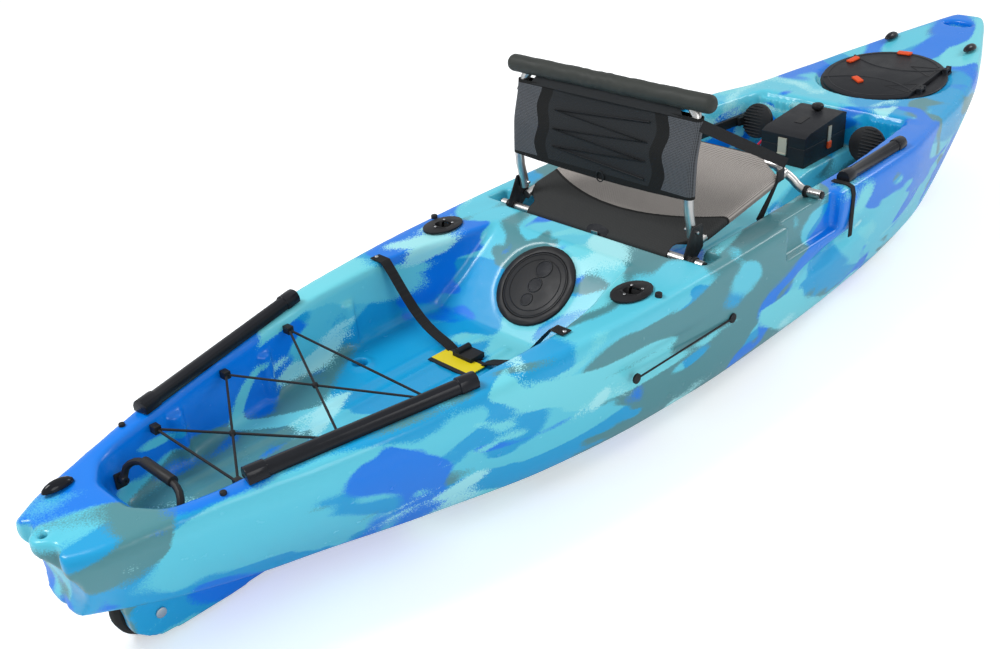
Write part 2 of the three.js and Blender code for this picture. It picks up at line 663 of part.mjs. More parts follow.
LATCHES.forEach(([x, y, turn], i) => {
  const frame = new THREE.Matrix4()
    .makeRotationZ(THREE.MathUtils.degToRad(turn))
    .setPosition(x, y, lidTop + FIT_GAP);
  const lever = box(-11, 9, -25, 25, 0, 7, frame).add(
    bar(V(-11, -20, 3.5), V(-11, 20, 3.5), 3.5, 10).transform(frame.elements),
  );
  addPiece("bow_latch_" + (i + 1), inBow(lever), ORANGE_MOULDING);
});

// ---------------------------------------------------------------- console box
const POD_X0 = along(630);
const podX1 = POD_X0 + POD_LENGTH;
const podFloor = CONSOLE_FLOOR_Z + FIT_GAP;
const hw = POD_HALF_WIDTH;
addPiece("console_box", box(POD_X0, podX1, -hw, hw, podFloor, POD_SPLIT_Z).subtract(
  box(POD_X0 + POD_WALL, podX1 - POD_WALL, -hw + POD_WALL, hw - POD_WALL, podFloor + POD_WALL, 400),
), BLACK_MOULDING);
const lidFloor = POD_SPLIT_Z + FIT_GAP;
const lidProfile = (e) => [
  [POD_X0 + e, lidFloor - e * 3], [podX1 - e, lidFloor - e * 3], [podX1 - e, lidFloor + 58 - e],
  [podX1 - 24 - e, lidFloor + 64 - e], [POD_X0 + 26, lidFloor + 46 - e], [POD_X0 + e, lidFloor + 36 - e],
];
const podLid = slabXZ(lidProfile(0), -hw, hw).subtract(
  slabXZ(lidProfile(POD_WALL), -hw + POD_WALL, hw - POD_WALL),
);
const KNOB_X = podX1 - 48;
addPiece("console_lid", podLid, BLACK_MOULDING);
addPiece("console_knob", settle(turned([
  [0, 0], [13, 0], [19, 5], [20, 14], [16, 20], [0, 22],
], at(KNOB_X, 0, lidFloor + 70), 20), podLid), BLACK_MOULDING);
addPiece("console_latch", box(POD_X0 - 5, POD_X0 - FIT_GAP, -15, 15, POD_SPLIT_Z - 26, POD_SPLIT_Z + 26)
  .add(bar(V(POD_X0 - 4.5, -15, POD_SPLIT_Z - 26), V(POD_X0 - 4.5, 15, POD_SPLIT_Z - 26), 4, 10)),
  GREY_MOULDING);
const loopX = (POD_X0 + podX1) / 2 + 20;
addPiece("console_side_strap",
  box(loopX - 9, loopX + 9, -hw - 4, -hw - FIT_GAP, POD_SPLIT_Z - 30, POD_SPLIT_Z + 40), ORANGE_MOULDING);

// ---------------------------------------------------------------- foot braces
const TRACK_X0 = along(470);
const trackX1 = TRACK_X0 + TRACK_LENGTH;
const TRACK_Z = 318;
const PEDAL_X = along(805);
const wallAt = (x) => across(wellTop((x * LOFT_LENGTH) / HULL_LENGTH)) - 14;
const trackSlope = Math.atan2(wallAt(trackX1) - wallAt(TRACK_X0), TRACK_LENGTH);
const trackFrame = new THREE.Matrix4()
  .makeRotationZ(trackSlope)
  .setPosition(TRACK_X0, wallAt(TRACK_X0) - 4, TRACK_Z);
const track = settle(
  box(0, TRACK_LENGTH, -TRACK_DEPTH, 0, 0, TRACK_HEIGHT, trackFrame),
  hullNear(TRACK_X0 - 40, trackX1 + 40, 120, HULL_BEAM), V(0, 1, 0), 30,
);
addPair("foot_track", track, BLACK_MOULDING);
const trackBox = track.boundingBox();
const trackFace = (x) =>
  trackBox.max[1] - TRACK_DEPTH + Math.tan(trackSlope) * (x - TRACK_X0);
const pedalFrame = new THREE.Matrix4()
  .makeRotationZ(trackSlope)
  .setPosition(PEDAL_X, trackFace(PEDAL_X) - FIT_GAP, TRACK_Z + TRACK_HEIGHT / 2);
const padFrame = pedalFrame.clone().multiply(
  new THREE.Matrix4()
    .makeRotationY(THREE.MathUtils.degToRad(-75))
    .setPosition(0, -PEDAL_RADIUS - 4, 8),
);
const pedal = box(-34, 34, -12, 0, -14, 14, pedalFrame)
  .add(box(-6, 6, -30, -8, -14, 20, pedalFrame))
  .add(disc(PEDAL_RADIUS, -6, 6, padFrame, 24));
addPair("foot_pedal", pedal, BLACK_MOULDING);

// ---------------------------------------------------------------- seat
const tubeR = SEAT_TUBE_RADIUS;
const COPE_GAP = 1; // round a bent tube, whose flats turn along it
const seatBarZ = LEDGE_Z + FIT_GAP + tubeR;
const seatBar = (r) =>
  bar(V(SEAT_BAR_X, -SEAT_BAR_HALF, seatBarZ), V(SEAT_BAR_X, SEAT_BAR_HALF, seatBarZ), r);
addPiece("seat_rear_bar", seatBar(tubeR), TUBE_ALUMINIUM);

const FRONT_X = along(165);
const footZ = sheerZ(188) + tubeR + 2;
const FRONT_TOP_Z = 488;
const footX = FRONT_X + 23;
const footHalf = across(390);
const sw = SEAT_HALF_WIDTH;
const halfFront = [
  [footX, footHalf, footZ], [footX, sw + 68, footZ], [footX - 3, sw + 38, footZ + 9],
  [footX - 9, sw + 16, footZ + 32], [FRONT_X + 5, sw - 2, FRONT_TOP_Z - 20],
  [FRONT_X - 2, sw - 28, FRONT_TOP_Z - 4], [FRONT_X - 6, sw - 60, FRONT_TOP_Z],
];
const frontPath = [
  ...halfFront.map(([x, y, z]) => V(x, y, z)),
  ...halfFront.slice().reverse().map(([x, y, z]) => V(x, -y, z)),
];
const drawnTube = bentTube(frontPath, tubeR, 46, 5);
const frontTube = settle(drawnTube, hullNear(footX - 60, footX + 60, -HULL_BEAM, HULL_BEAM));
addPiece("seat_front_tube", frontTube, TUBE_ALUMINIUM);
const tubeDrop = frontTube.boundingBox().min[2] - drawnTube.boundingBox().min[2];
const frontTubeSpace = bentTube(frontPath, tubeR + COPE_GAP, 46, 5).translate([0, 0, tubeDrop]);

const PIVOT = { x: SEAT_BAR_X + 28, z: 445 };
const SIDE_REAR = V(SEAT_BAR_X + 34, sw, 402);
const sideTube = bar(SIDE_REAR, V(FRONT_X + 6, sw, FRONT_TOP_Z - 22), tubeR).subtract(frontTubeSpace);
addPair("seat_side_tube", sideTube, TUBE_ALUMINIUM);

const plateY = sw + tubeR + 0.5;
const pivotBolt = (r, y0, y1) => bar(V(PIVOT.x, y0, PIVOT.z), V(PIVOT.x, y1, PIVOT.z), r, 12);
const bx = SEAT_BAR_X;
const bracket = slabXZ([
  [bx - 24, seatBarZ - 11], [bx + 20, seatBarZ - 11], [bx + 58, PIVOT.z - 48], [bx + 52, PIVOT.z + 16],
  [bx + 12, PIVOT.z + 18], [bx - 22, seatBarZ + 24],
], plateY, plateY + 4).subtract(seatBar(tubeR + FIT_GAP)).subtract(pivotBolt(4 + FIT_GAP, 200, 400));
addPair("seat_bracket", bracket, STEEL);
addPair("seat_pivot_bolt", pivotBolt(4, sw - 20, plateY + 9), STEEL);

const BACK_TOP_X = SEAT_BAR_X + 44;
const halfBack = [
  [PIVOT.x, sw, PIVOT.z - 16], [PIVOT.x - 2, sw, PIVOT.z + 10], [PIVOT.x - 14, sw, PIVOT.z + 70],
  [PIVOT.x - 10, sw, 620], [BACK_TOP_X - 4, sw, SEAT_BACK_TOP_Z - 60],
  [BACK_TOP_X, sw - 6, SEAT_BACK_TOP_Z - 32], [BACK_TOP_X, sw - 28, SEAT_BACK_TOP_Z - 8],
  [BACK_TOP_X, sw - 60, SEAT_BACK_TOP_Z],
];
const backPath = [
  ...halfBack.map(([x, y, z]) => V(x, y, z)),
  ...halfBack.slice().reverse().map(([x, y, z]) => V(x, -y, z)),
];
const backTube = bentTube(backPath, tubeR, 52, 5)
  .subtract(pivotBolt(4 + FIT_GAP, 200, 400))
  .subtract(port(pivotBolt(4 + FIT_GAP, 200, 400)));
addPiece("seat_back_frame", backTube, TUBE_ALUMINIUM);
const backTubeSpace = bentTube(backPath, tubeR + COPE_GAP, 52, 5);
const PANEL_Z0 = 537;
const PANEL_Z1 = 738;
const panelHalf = sw - tubeR - FIT_GAP;
addPiece("seat_back_panel", slabXZ([
  [PIVOT.x - 19, PANEL_Z0], [PIVOT.x - 7, PANEL_Z0], [BACK_TOP_X + 2, PANEL_Z1], [BACK_TOP_X - 10, PANEL_Z1],
], -panelHalf, panelHalf).subtract(backTubeSpace), DARK_FABRIC);
const ROLL_RADIUS = 27;
const ROLL_HALF = 335;
addPiece("seat_back_roll",
  bar(V(BACK_TOP_X, -ROLL_HALF, SEAT_BACK_TOP_Z), V(BACK_TOP_X, ROLL_HALF, SEAT_BACK_TOP_Z), ROLL_RADIUS, 16)
    .subtract(backTubeSpace), DARK_FABRIC);

const slingRear = seatBarZ + tubeR + FIT_GAP;
const slingHalf = sw - tubeR - FIT_GAP;
addPiece("seat_sling", slabXZ([
  [bx - 6, slingRear + 0.5], [bx + 34, slingRear + 10], [FRONT_X - 180, 437], [FRONT_X - 30, 470],
  [FRONT_X - 31, 479], [FRONT_X - 182, 446], [bx + 30, slingRear + 19], [bx - 8, slingRear + 10],
], -slingHalf, slingHalf), MESH_FABRIC);

const strapLine = strapOutline([
  [FRONT_X - 150, 384], [FRONT_X - 30, 494], [BACK_TOP_X - 14, SEAT_BACK_TOP_Z - 68],
], -STRAP_WIDTH);
addPair("seat_strap", slabXZ(strapLine, sw + tubeR + 0.5, sw + tubeR + 0.5 + STRAP_THICKNESS), WEBBING);

// ---------------------------------------------------------------- stern handle
const HANDLE = { x: along(-1675), y: 100, z: 290 };
const handlePin = (r, y0, y1) => bar(V(HANDLE.x, y0, HANDLE.z), V(HANDLE.x, y1, HANDLE.z), r, 10);
const halfGrip = [
  [HANDLE.x, HANDLE.y, HANDLE.z], [HANDLE.x + 12, HANDLE.y, HANDLE.z + 26],
  [HANDLE.x + 26, HANDLE.y - 26, HANDLE.z + 44], [HANDLE.x + 30, 24, HANDLE.z + 50],
];
const gripPath = [
  ...halfGrip.map(([x, y, z]) => V(x, y, z)),
  ...halfGrip.slice().reverse().map(([x, y, z]) => V(x, -y, z)),
];
const pinHoles = handlePin(3 + FIT_GAP, 60, 140).add(port(handlePin(3 + FIT_GAP, 60, 140)));
addPiece("stern_handle", union([
  bentTube(gripPath, 8, 20, 4),
  bar(V(HANDLE.x + 30, -52, HANDLE.z + 50), V(HANDLE.x + 30, 52, HANDLE.z + 50), 12, 12),
  handlePin(9, HANDLE.y - 8, HANDLE.y + 8), port(handlePin(9, HANDLE.y - 8, HANDLE.y + 8)),
]).subtract(pinHoles), BLACK_RUBBER);
const footing = box(HANDLE.x - 12, HANDLE.x + 12, HANDLE.y + 9, HANDLE.y + 14, HANDLE.z - 26, HANDLE.z + 10);
const sternNear = hullNear(HANDLE.x - 60, HANDLE.x + 60, 0, HULL_BEAM);
const seatedFooting = settle(footing, sternNear, V(0, 1, 0), 40);
const reach = seatedFooting.boundingBox().min[1] - footing.boundingBox().min[1];
addPair("stern_handle_bracket", union([
  seatedFooting, handlePin(3, HANDLE.y - 6, HANDLE.y + 12 + reach),
  handlePin(7, HANDLE.y + 9, HANDLE.y + 12 + reach),
]), BLACK_MOULDING);

// ---------------------------------------------------------------- small deck fittings
function dome(length, width, height, x, y) {
  const g = new THREE.SphereGeometry(1, 16, 10).scale(length / 2, width / 2, height);
  const round = placed(g, at(along(x), across(y), 0));
  const block = box(-HULL_LENGTH, HULL_LENGTH, -HULL_BEAM, HULL_BEAM, 0, height + 1);
  return settle(
    round.intersect(block).translate([0, 0, sheerZ(x) + 10]),
    hullNear(along(x) - length, along(x) + length, -HULL_BEAM, HULL_BEAM),
  );
}
addPair("bow_fitting", dome(84, 34, 20, 1606, 150), BLACK_MOULDING);
addPiece("stern_fitting", dome(70, 30, 18, -1805, 104), BLACK_MOULDING);

// ---------------------------------------------------------------- side bungee and rail leashes
const BUNGEE = { x0: along(-644), x1: along(-251), z: 240 };
const sideFrom = HULL_BEAM / 2 + 12;
const sideBungee = union([
  bar(V(BUNGEE.x0, -sideFrom, BUNGEE.z), V(BUNGEE.x1, -sideFrom, BUNGEE.z - 6), 2.5, 8),
  bar(V(BUNGEE.x0, -sideFrom - 2, BUNGEE.z), V(BUNGEE.x0, -sideFrom + 3, BUNGEE.z), 13),
  bar(V(BUNGEE.x1, -sideFrom - 2, BUNGEE.z - 6), V(BUNGEE.x1, -sideFrom + 3, BUNGEE.z - 6), 13),
]);
addPiece("side_bungee", settle(
  sideBungee, hullNear(BUNGEE.x0 - 60, BUNGEE.x1 + 60, -HULL_BEAM, 0), V(0, 1, 0), 60,
), BLACK_RUBBER);
const LEASH_X = along(318);
const leashEdge = across(halfBeam(318));
const leashTop = sheerZ(318);
addPair("rail_leash", slabYZ(strapOutline([
  [leashEdge + 1, leashTop - 150], [leashEdge + 1, leashTop - 24],
  [leashEdge - 4, leashTop - 4], [leashEdge - EDGE_ROLL, leashTop + 1.5],
  [leashEdge - EDGE_ROLL - 45, leashTop + 1.5],
], -3), LEASH_X - 9, LEASH_X + 9), BLACK_RUBBER);

export default kayak;
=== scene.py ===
import math

import bmesh
import bpy
import numpy as np
from mathutils import Matrix, Vector


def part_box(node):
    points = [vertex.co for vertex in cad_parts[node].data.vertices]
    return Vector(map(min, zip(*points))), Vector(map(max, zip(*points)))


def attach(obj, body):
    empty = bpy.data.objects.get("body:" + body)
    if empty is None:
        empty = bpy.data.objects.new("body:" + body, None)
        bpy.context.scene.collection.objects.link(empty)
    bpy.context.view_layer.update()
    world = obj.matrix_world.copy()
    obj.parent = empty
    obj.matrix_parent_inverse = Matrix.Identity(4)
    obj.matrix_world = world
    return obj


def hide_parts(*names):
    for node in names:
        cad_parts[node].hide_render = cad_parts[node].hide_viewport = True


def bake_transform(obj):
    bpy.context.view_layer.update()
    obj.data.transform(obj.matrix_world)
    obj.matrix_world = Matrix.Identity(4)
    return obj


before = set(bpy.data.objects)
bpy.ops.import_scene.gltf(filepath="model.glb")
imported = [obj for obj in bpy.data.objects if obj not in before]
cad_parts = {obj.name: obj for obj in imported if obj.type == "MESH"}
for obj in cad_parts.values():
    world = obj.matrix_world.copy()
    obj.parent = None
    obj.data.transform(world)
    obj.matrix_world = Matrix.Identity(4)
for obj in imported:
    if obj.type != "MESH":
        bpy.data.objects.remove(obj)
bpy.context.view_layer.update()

# ---------------------------------------------------------------- camera
# The boat is seen from above and behind its starboard quarter, with the bow far off.
CAMERA_PLACE = Vector((-2.51077, -1.85848, 1.66759))
CAMERA_AZIMUTH, CAMERA_ELEVATION, CAMERA_ROLL = map(math.radians, (-44.66996, 28.36162, -3.31994))
back = Vector((
    math.sin(CAMERA_AZIMUTH) * math.cos(CAMERA_ELEVATION),
    -math.cos(CAMERA_AZIMUTH) * math.cos(CAMERA_ELEVATION),
    math.sin(CAMERA_ELEVATION),
))
right = Vector((math.cos(CAMERA_AZIMUTH), math.sin(CAMERA_AZIMUTH), 0))
up = back.cross(right)
rolled_right = right * math.cos(CAMERA_ROLL) + up * math.sin(CAMERA_ROLL)
rolled_up = up * math.cos(CAMERA_ROLL) - right * math.sin(CAMERA_ROLL)
camera_data = bpy.data.cameras.new("camera")
camera_data.lens = 42.405
camera_data.sensor_width = 36
camera_data.clip_end = 60
camera = bpy.data.objects.new("camera", camera_data)
bpy.context.scene.collection.objects.link(camera)
camera.matrix_world = Matrix((
    (*[rolled_right.x, rolled_up.x, back.x], CAMERA_PLACE.x),
    (*[rolled_right.y, rolled_up.y, back.y], CAMERA_PLACE.y),
    (*[rolled_right.z, rolled_up.z, back.z], CAMERA_PLACE.z),
    (0, 0, 0, 1),
))
bpy.context.scene.camera = camera
bpy.context.scene.view_settings.view_transform = "Standard"

# ---------------------------------------------------------------- floor and light
# A pale floor that shows white to the camera and keeps the boat's shadow, under large soft lamps.
def new_material(name):
    material = bpy.data.materials.new(name)
    material.use_nodes = True
    nodes, links = material.node_tree.nodes, material.node_tree.links
    return material, nodes, links, nodes["Principled BSDF"]


bpy.ops.object.select_all(action="DESELECT")
bpy.ops.mesh.primitive_plane_add(size=60, location=(0, 0, -0.002))
floor = bpy.context.object
floor.name = "floor"
floor_material, nodes, links, shader = new_material("floor")
shader.inputs["Base Color"].default_value = (0.93, 0.94, 0.95, 1)
shader.inputs["Roughness"].default_value = 0.9
paths = nodes.new("ShaderNodeLightPath")
glow = nodes.new("ShaderNodeMath")
glow.operation = "MULTIPLY"
glow.inputs[1].default_value = 0.42
links.new(paths.outputs["Is Camera Ray"], glow.inputs[0])
links.new(glow.outputs[0], shader.inputs["Emission Strength"])
shader.inputs["Emission Color"].default_value = (1, 1, 1, 1)
floor.data.materials.append(floor_material)

world = bpy.data.worlds.new("studio")
bpy.context.scene.world = world
world.use_nodes = True
nodes, links = world.node_tree.nodes, world.node_tree.links
ambient = nodes["Background"]
ambient.inputs["Color"].default_value = (0.95, 0.98, 1, 1)
ambient.inputs["Strength"].default_value = 0.52
seen = nodes.new("ShaderNodeBackground")
seen.inputs["Color"].default_value = (1, 1, 1, 1)
chosen = nodes.new("ShaderNodeMixShader")
path = nodes.new("ShaderNodeLightPath")
seen_or_mirrored = nodes.new("ShaderNodeMath")
seen_or_mirrored.operation = "MAXIMUM"
links.new(path.outputs["Is Camera Ray"], seen_or_mirrored.inputs[0])
dimmed = nodes.new("ShaderNodeMath")
dimmed.operation = "MULTIPLY"
dimmed.inputs[1].default_value = 0.35
links.new(path.outputs["Is Glossy Ray"], dimmed.inputs[0])
links.new(dimmed.outputs[0], seen_or_mirrored.inputs[1])
links.new(seen_or_mirrored.outputs[0], chosen.inputs["Fac"])
links.new(ambient.outputs["Background"], chosen.inputs[1])
links.new(seen.outputs["Background"], chosen.inputs[2])
links.new(chosen.outputs["Shader"], nodes["World Output"].inputs["Surface"])


def lamp(name, place, target, size, power):
    data = bpy.data.lights.new(name, "AREA")
    data.shape = "DISK"
    data.size = size
    data.energy = power
    new = bpy.data.objects.new(name, data)
    bpy.context.scene.collection.objects.link(new)
    new.location = place
    new.rotation_euler = (Vector(target) - Vector(place)).to_track_quat("-Z", "Y").to_euler()


lamp("key", (-3.5, 2.5, 5.0), (0, 0, 0.2), 2.2, 215)
lamp("fill", (-2.0, -5.5, 2.6), (0, 0, 0.3), 3.0, 80)
lamp("bow", (4.5, -2.0, 3.5), (0.8, 0, 0.3), 2.0, 70)


# ---------------------------------------------------------------- hull
# Rotomoulded polyethylene in mottled blues, one piece with its wells, hatches' lands, skeg and towing lug.
# The real boat is hollow; this shell is solid, with a pocket under each hatch. Its lines are drawn through
# the same stations as the frame's, then skinned over and rounded.
def fair_curve(*stations):
    xs, vs = (np.array(column, float) for column in zip(*stations))
    slope = np.diff(vs) / np.diff(xs)
    product = slope[:-1] * slope[1:]
    total = slope[:-1] + slope[1:]
    inside = np.where(product > 0, 2 * product / np.where(product > 0, total, 1), 0)
    tangent = np.concatenate([slope[:1], inside, slope[-1:]])

    def value(x):
        x = min(max(x, xs[0]), xs[-1])
        i = min(int(np.searchsorted(xs, x, side="right")) - 1, len(xs) - 2)
        h = xs[i + 1] - xs[i]
        t = (x - xs[i]) / h
        s = 1 - t
        ends = vs[i] * (1 + 2 * t) * s * s + vs[i + 1] * (1 + 2 * s) * t * t
        return ends + h * (tangent[i] * t * s * s - tangent[i + 1] * s * t * t)

    return value


sheer_z = fair_curve(
    (-1.905, .330), (-1.6, .358), (-1, .388), (-.5, .398), (0, .404), (.5, .410),
    (.8, .408), (1, .402), (1.25, .408), (1.5, .430), (1.7, .458), (1.92, .488))
half_beam = fair_curve(
    (-1.905, .100), (-1.85, .132), (-1.75, .165), (-1.6, .212), (-1.4, .280), (-1.2, .330),
    (-.9, .378), (-.6, .404), (-.25, .415), (.4, .415), (.7, .404), (1, .350), (1.2, .318),
    (1.4, .270), (1.6, .198), (1.8, .114), (1.89, .074), (1.92, .050))
chine_half = fair_curve(
    (-1.905, .072), (-1.7, .110), (-1.47, .150), (-1.18, .235), (-.86, .330), (-.57, .375),
    (-.23, .394), (.1, .390), (.45, .372), (.9, .320), (1.2, .255), (1.45, .185), (1.65, .125),
    (1.8, .082), (1.92, .040))
chine_z = fair_curve(
    (-1.905, .185), (-1.7, .130), (-1.45, .090), (-1.1, .072), (.6, .072), (1, .082), (1.25, .108),
    (1.45, .145), (1.65, .205), (1.8, .285), (1.92, .445))
keel_z = fair_curve(
    (-1.905, .165), (-1.8, .122), (-1.65, .072), (-1.45, .032), (-1.2, .020), (.9, .020),
    (1.15, .034), (1.4, .072), (1.6, .130), (1.72, .195), (1.82, .290), (1.88, .385), (1.92, .436))
well_depth = fair_curve(
    (-1.752, 0), (-1.742, .05), (-1.69, .9), (-1.66, 1), (-.655, 1), (-.64, .93), (-.45, .05),
    (-.432, 0), (-.338, 0), (-.330, .04), (-.308, .95), (-.298, 1), (.884, 1), (.893, .97),
    (.925, .06), (.936, 0))
well_top = fair_curve(
    (-1.905, .060), (-1.75, .060), (-1.715, .112), (-1.66, .142), (-1.56, .168), (-1.4, .210),
    (-1.2, .250), (-1, .286), (-.78, .296), (-.66, .280), (-.56, .252), (-.44, .235), (-.34, .290),
    (-.29, .318), (.4, .318), (.88, .276), (.93, .268), (1.2, .230), (1.5, .160), (1.7, .100),
    (1.92, .022))
console_rise = fair_curve((.3, 0), (.42, .25), (.6, .97), (.625, 1), (1, 1))
WELL_FLOOR = .212
CONSOLE_FLOOR = .285


def mix(a, b, t):
    return a + (b - a) * t


def bump(t, centre, reach):
    """1 at the centre, falling smoothly to 0 at the reach on either side."""
    u = min(abs(t - centre) / reach, 1)
    return (1 - u * u) ** 2


def half_section(x):
    """Half of the section at x, from the keel out and over the edge to the middle of the deck."""
    zs, b, bc, zc, zk = sheer_z(x), half_beam(x), chine_half(x), chine_z(x), keel_z(x)
    depth = well_depth(x)
    edge = min(1, (zs - zc) / .110)
    inner = b - .020
    top = min(well_top(x), inner * .86)
    ease = min(1, top / .120)
    foot = max(top - .016, top * .7)
    floor_z = mix(zs, WELL_FLOOR, depth)
    hump = mix(floor_z, mix(zs, CONSOLE_FLOOR, depth), console_rise(x) * min(1, depth * 4))
    hump_foot = min(.122, foot * .6)
    hump_top = min(.100, hump_foot * .82)
    return [
        (0, zk), (bc * .5, mix(zk, zc, .12)), (bc * .88, mix(zk, zc, .6)), (bc, zc + .006),
        (mix(bc, b, .6), mix(zc, zs, .42)), (b - .001, mix(zc, zs, .76)), (b, zs - .022 * edge),
        (b - .006, zs - .006 * edge), (inner, zs),
        (top + .004 * ease, zs - .02 * (zs - floor_z)), (top - .004 * ease, mix(zs, floor_z, .12)),
        (foot + .003 * ease, mix(zs, floor_z, .88)), (foot - .009 * ease, floor_z),
        (hump_foot, floor_z), (hump_top, hump), (0, hump),
    ]


SIDE_POINTS = 7  # the round part of the section, from the keel to the edge
PARTS = [5, 5, 4, 6, 6, 4, 2, 2, 4, 2, 6, 2, 6, 4, 5]  # how finely each stretch of it is divided


def fine_section(x):
    points = [Vector((y, z)) for y, z in half_section(x)]
    fine = []
    for i, parts in enumerate(PARTS):
        a, b = points[i], points[i + 1]
        before = points[i - 1] if i else Vector((-points[1].x, points[1].y))
        after = points[min(i + 2, len(points) - 1)]
        for k in range(parts):
            t = k / parts
            if i < SIDE_POINTS - 1:
                p = .5 * (2 * a + (b - before) * t + (2 * before - 5 * a + 4 * b - after) * t * t
                          + (3 * a - before - 3 * b + after) * t ** 3)
            else:
                p = a.lerp(b, t)
            fine.append(p)
    fine.append(points[-1])
    return fine


def side_hollow(x, z):
    """How far the side is pressed in: a long scoop below the seat and a shelf over the side bungee."""
    scoop = .026 * bump(x, .25, .24) * bump(z, .235 + .10 * (x - .25), .042)
    shelf = .010 * bump(x, -.50, .28) * bump(z, .262, .016)
    return scoop + shelf


STATION_STEP = .022
stations = list(np.arange(-1.905, 1.921, STATION_STEP)) + [1.92]
shell = bmesh.new()
rings = []
for x in stations:
    half = fine_section(x)
    outline = half + [Vector((-p.x, p.y)) for p in reversed(half[1:-1])]
    ring = []
    for p in outline:
        hollow = side_hollow(x, p.y) if abs(p.x) > half_beam(x) - .03 else 0
        ring.append(shell.verts.new((x, p.x - math.copysign(hollow, p.x), p.y)))
    rings.append(ring)
for ring_a, ring_b in zip(rings, rings[1:]):
    for j in range(len(ring_a)):
        k = (j + 1) % len(ring_a)
        shell.faces.new((ring_a[j], ring_a[k], ring_b[k], ring_b[j]))
for ring, turn in ((rings[0], 1), (rings[-1], -1)):
    middle = shell.verts.new(sum((v.co for v in ring), Vector()) / len(ring))
    for j in range(len(ring)):
        pair = (ring[j], ring[(j + 1) % len(ring)])[::turn]
        shell.faces.new((middle, pair[1], pair[0]))
bmesh.ops.recalc_face_normals(shell, faces=shell.faces)
hull_mesh = bpy.data.meshes.new("hull_shell")
shell.to_mesh(hull_mesh)
shell.free()
hull = bpy.data.objects.new("hull_shell", hull_mesh)
bpy.context.scene.collection.objects.link(hull)


def alone(piece):
    """Makes a piece the only one selected, and active."""
    bpy.ops.object.select_all(action="DESELECT")
    piece.select_set(True)
    bpy.context.view_layer.objects.active = piece


def settled(piece):
    """Puts a piece's place, turn and size into its mesh."""
    alone(piece)
    bpy.ops.object.transform_apply(location=True, rotation=True, scale=True)
    return piece


def rod(start, end, radius, sides=32):
    """A round bar between two points."""
    start, end = Vector(start), Vector(end)
    bpy.ops.object.select_all(action="DESELECT")
    bpy.ops.mesh.primitive_cylinder_add(
        vertices=sides, radius=radius, depth=(end - start).length, location=(start + end) / 2,
        rotation=(end - start).to_track_quat("Z", "Y").to_euler())
    return settled(bpy.context.object)


def block(low, high):
    """A square block between two corners."""
    low, high = Vector(low), Vector(high)
    bpy.ops.object.select_all(action="DESELECT")
    bpy.ops.mesh.primitive_cube_add(size=1, location=(low + high) / 2, scale=high - low)
    return settled(bpy.context.object)


def applied(piece, kind, **values):
    """Adds a modifier with these values and applies it."""
    alone(piece)
    modifier = piece.modifiers.new(kind.lower(), kind)
    for key, value in values.items():
        setattr(modifier, key, value)
    bpy.ops.object.modifier_apply(modifier=modifier.name)
    return piece


def cut_away(piece, *tools):
    for tool in tools:
        applied(piece, "BOOLEAN", object=tool, operation="DIFFERENCE", solver="EXACT")
        bpy.data.objects.remove(tool)


# The lands of the hatches, the skeg, the lug and the raised mouldings are laid over the shell.
WHEEL = (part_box("wheel_tyre")[0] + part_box("wheel_tyre")[1]) / 2
LUG_X, LUG_RADIUS, LUG_TOP = -1.893, .027, .336
bpy.ops.object.select_all(action="DESELECT")
skeg_outline = [
    (-1.808, .150), (-1.796, .056), (-1.766, .029), (-1.740, .017), (-1.697, .012), (-1.580, .011),
    (-1.430, .018), (-1.400, .060), (-1.430, .110), (-1.790, .175)]
skeg_mesh = bpy.data.meshes.new("skeg")
SKEG_HALF = .062
skeg_mesh.from_pydata(
    [(x, side * SKEG_HALF, z) for side in (-1, 1) for x, z in skeg_outline], [],
    [list(range(10)), list(range(19, 9, -1))]
    + [[(i + 1) % 10, i, i + 10, (i + 1) % 10 + 10] for i in range(10)])
skeg = bpy.data.objects.new("skeg", skeg_mesh)
bpy.context.scene.collection.objects.link(skeg)
alone(skeg)
bpy.ops.object.mode_set(mode="EDIT")
bpy.ops.mesh.select_all(action="SELECT")
bpy.ops.mesh.normals_make_consistent(inside=False)
bpy.ops.object.mode_set(mode="OBJECT")
additions = [skeg, rod((LUG_X, 0, LUG_TOP - .064), (LUG_X, 0, LUG_TOP), LUG_RADIUS)]
SCUPPERS = [(x, y * side) for x, y in ((-.98, .190), (.06, .210), (.52, .215)) for side in (1, -1)]
for x, y in SCUPPERS:
    additions.append(rod((x, y, WELL_FLOOR - .02), (x, y, WELL_FLOOR + .006), .030))
for side in (1, -1):
    for k in range(5):
        y = side * (.150 + .026 * k)
        additions.append(rod((.893, y, WELL_FLOOR), (.918, y, .385), .008, 12))
    for x in (-1.50, -1.22, -.93):
        y = side * (well_top(x) - .008)
        additions.append(rod((x, y, WELL_FLOOR - .01), (x, y * 1.03, .33), .022, 20))
for y in (-.10, -.045, .045, .10):
    additions.append(block((-1.56, y - .006, WELL_FLOOR - .01), (-.70, y + .006, WELL_FLOOR + .0045)))
    additions.append(block((-.24, y - .006, WELL_FLOOR - .01), (.28, y + .006, WELL_FLOOR + .0045)))


def slope_frame(x, z, pitch):
    a = math.radians(pitch)
    return Matrix((
        (math.cos(a), 0, -math.sin(a), x), (0, 1, 0, 0), (math.sin(a), 0, math.cos(a), z), (0, 0, 0, 1)))


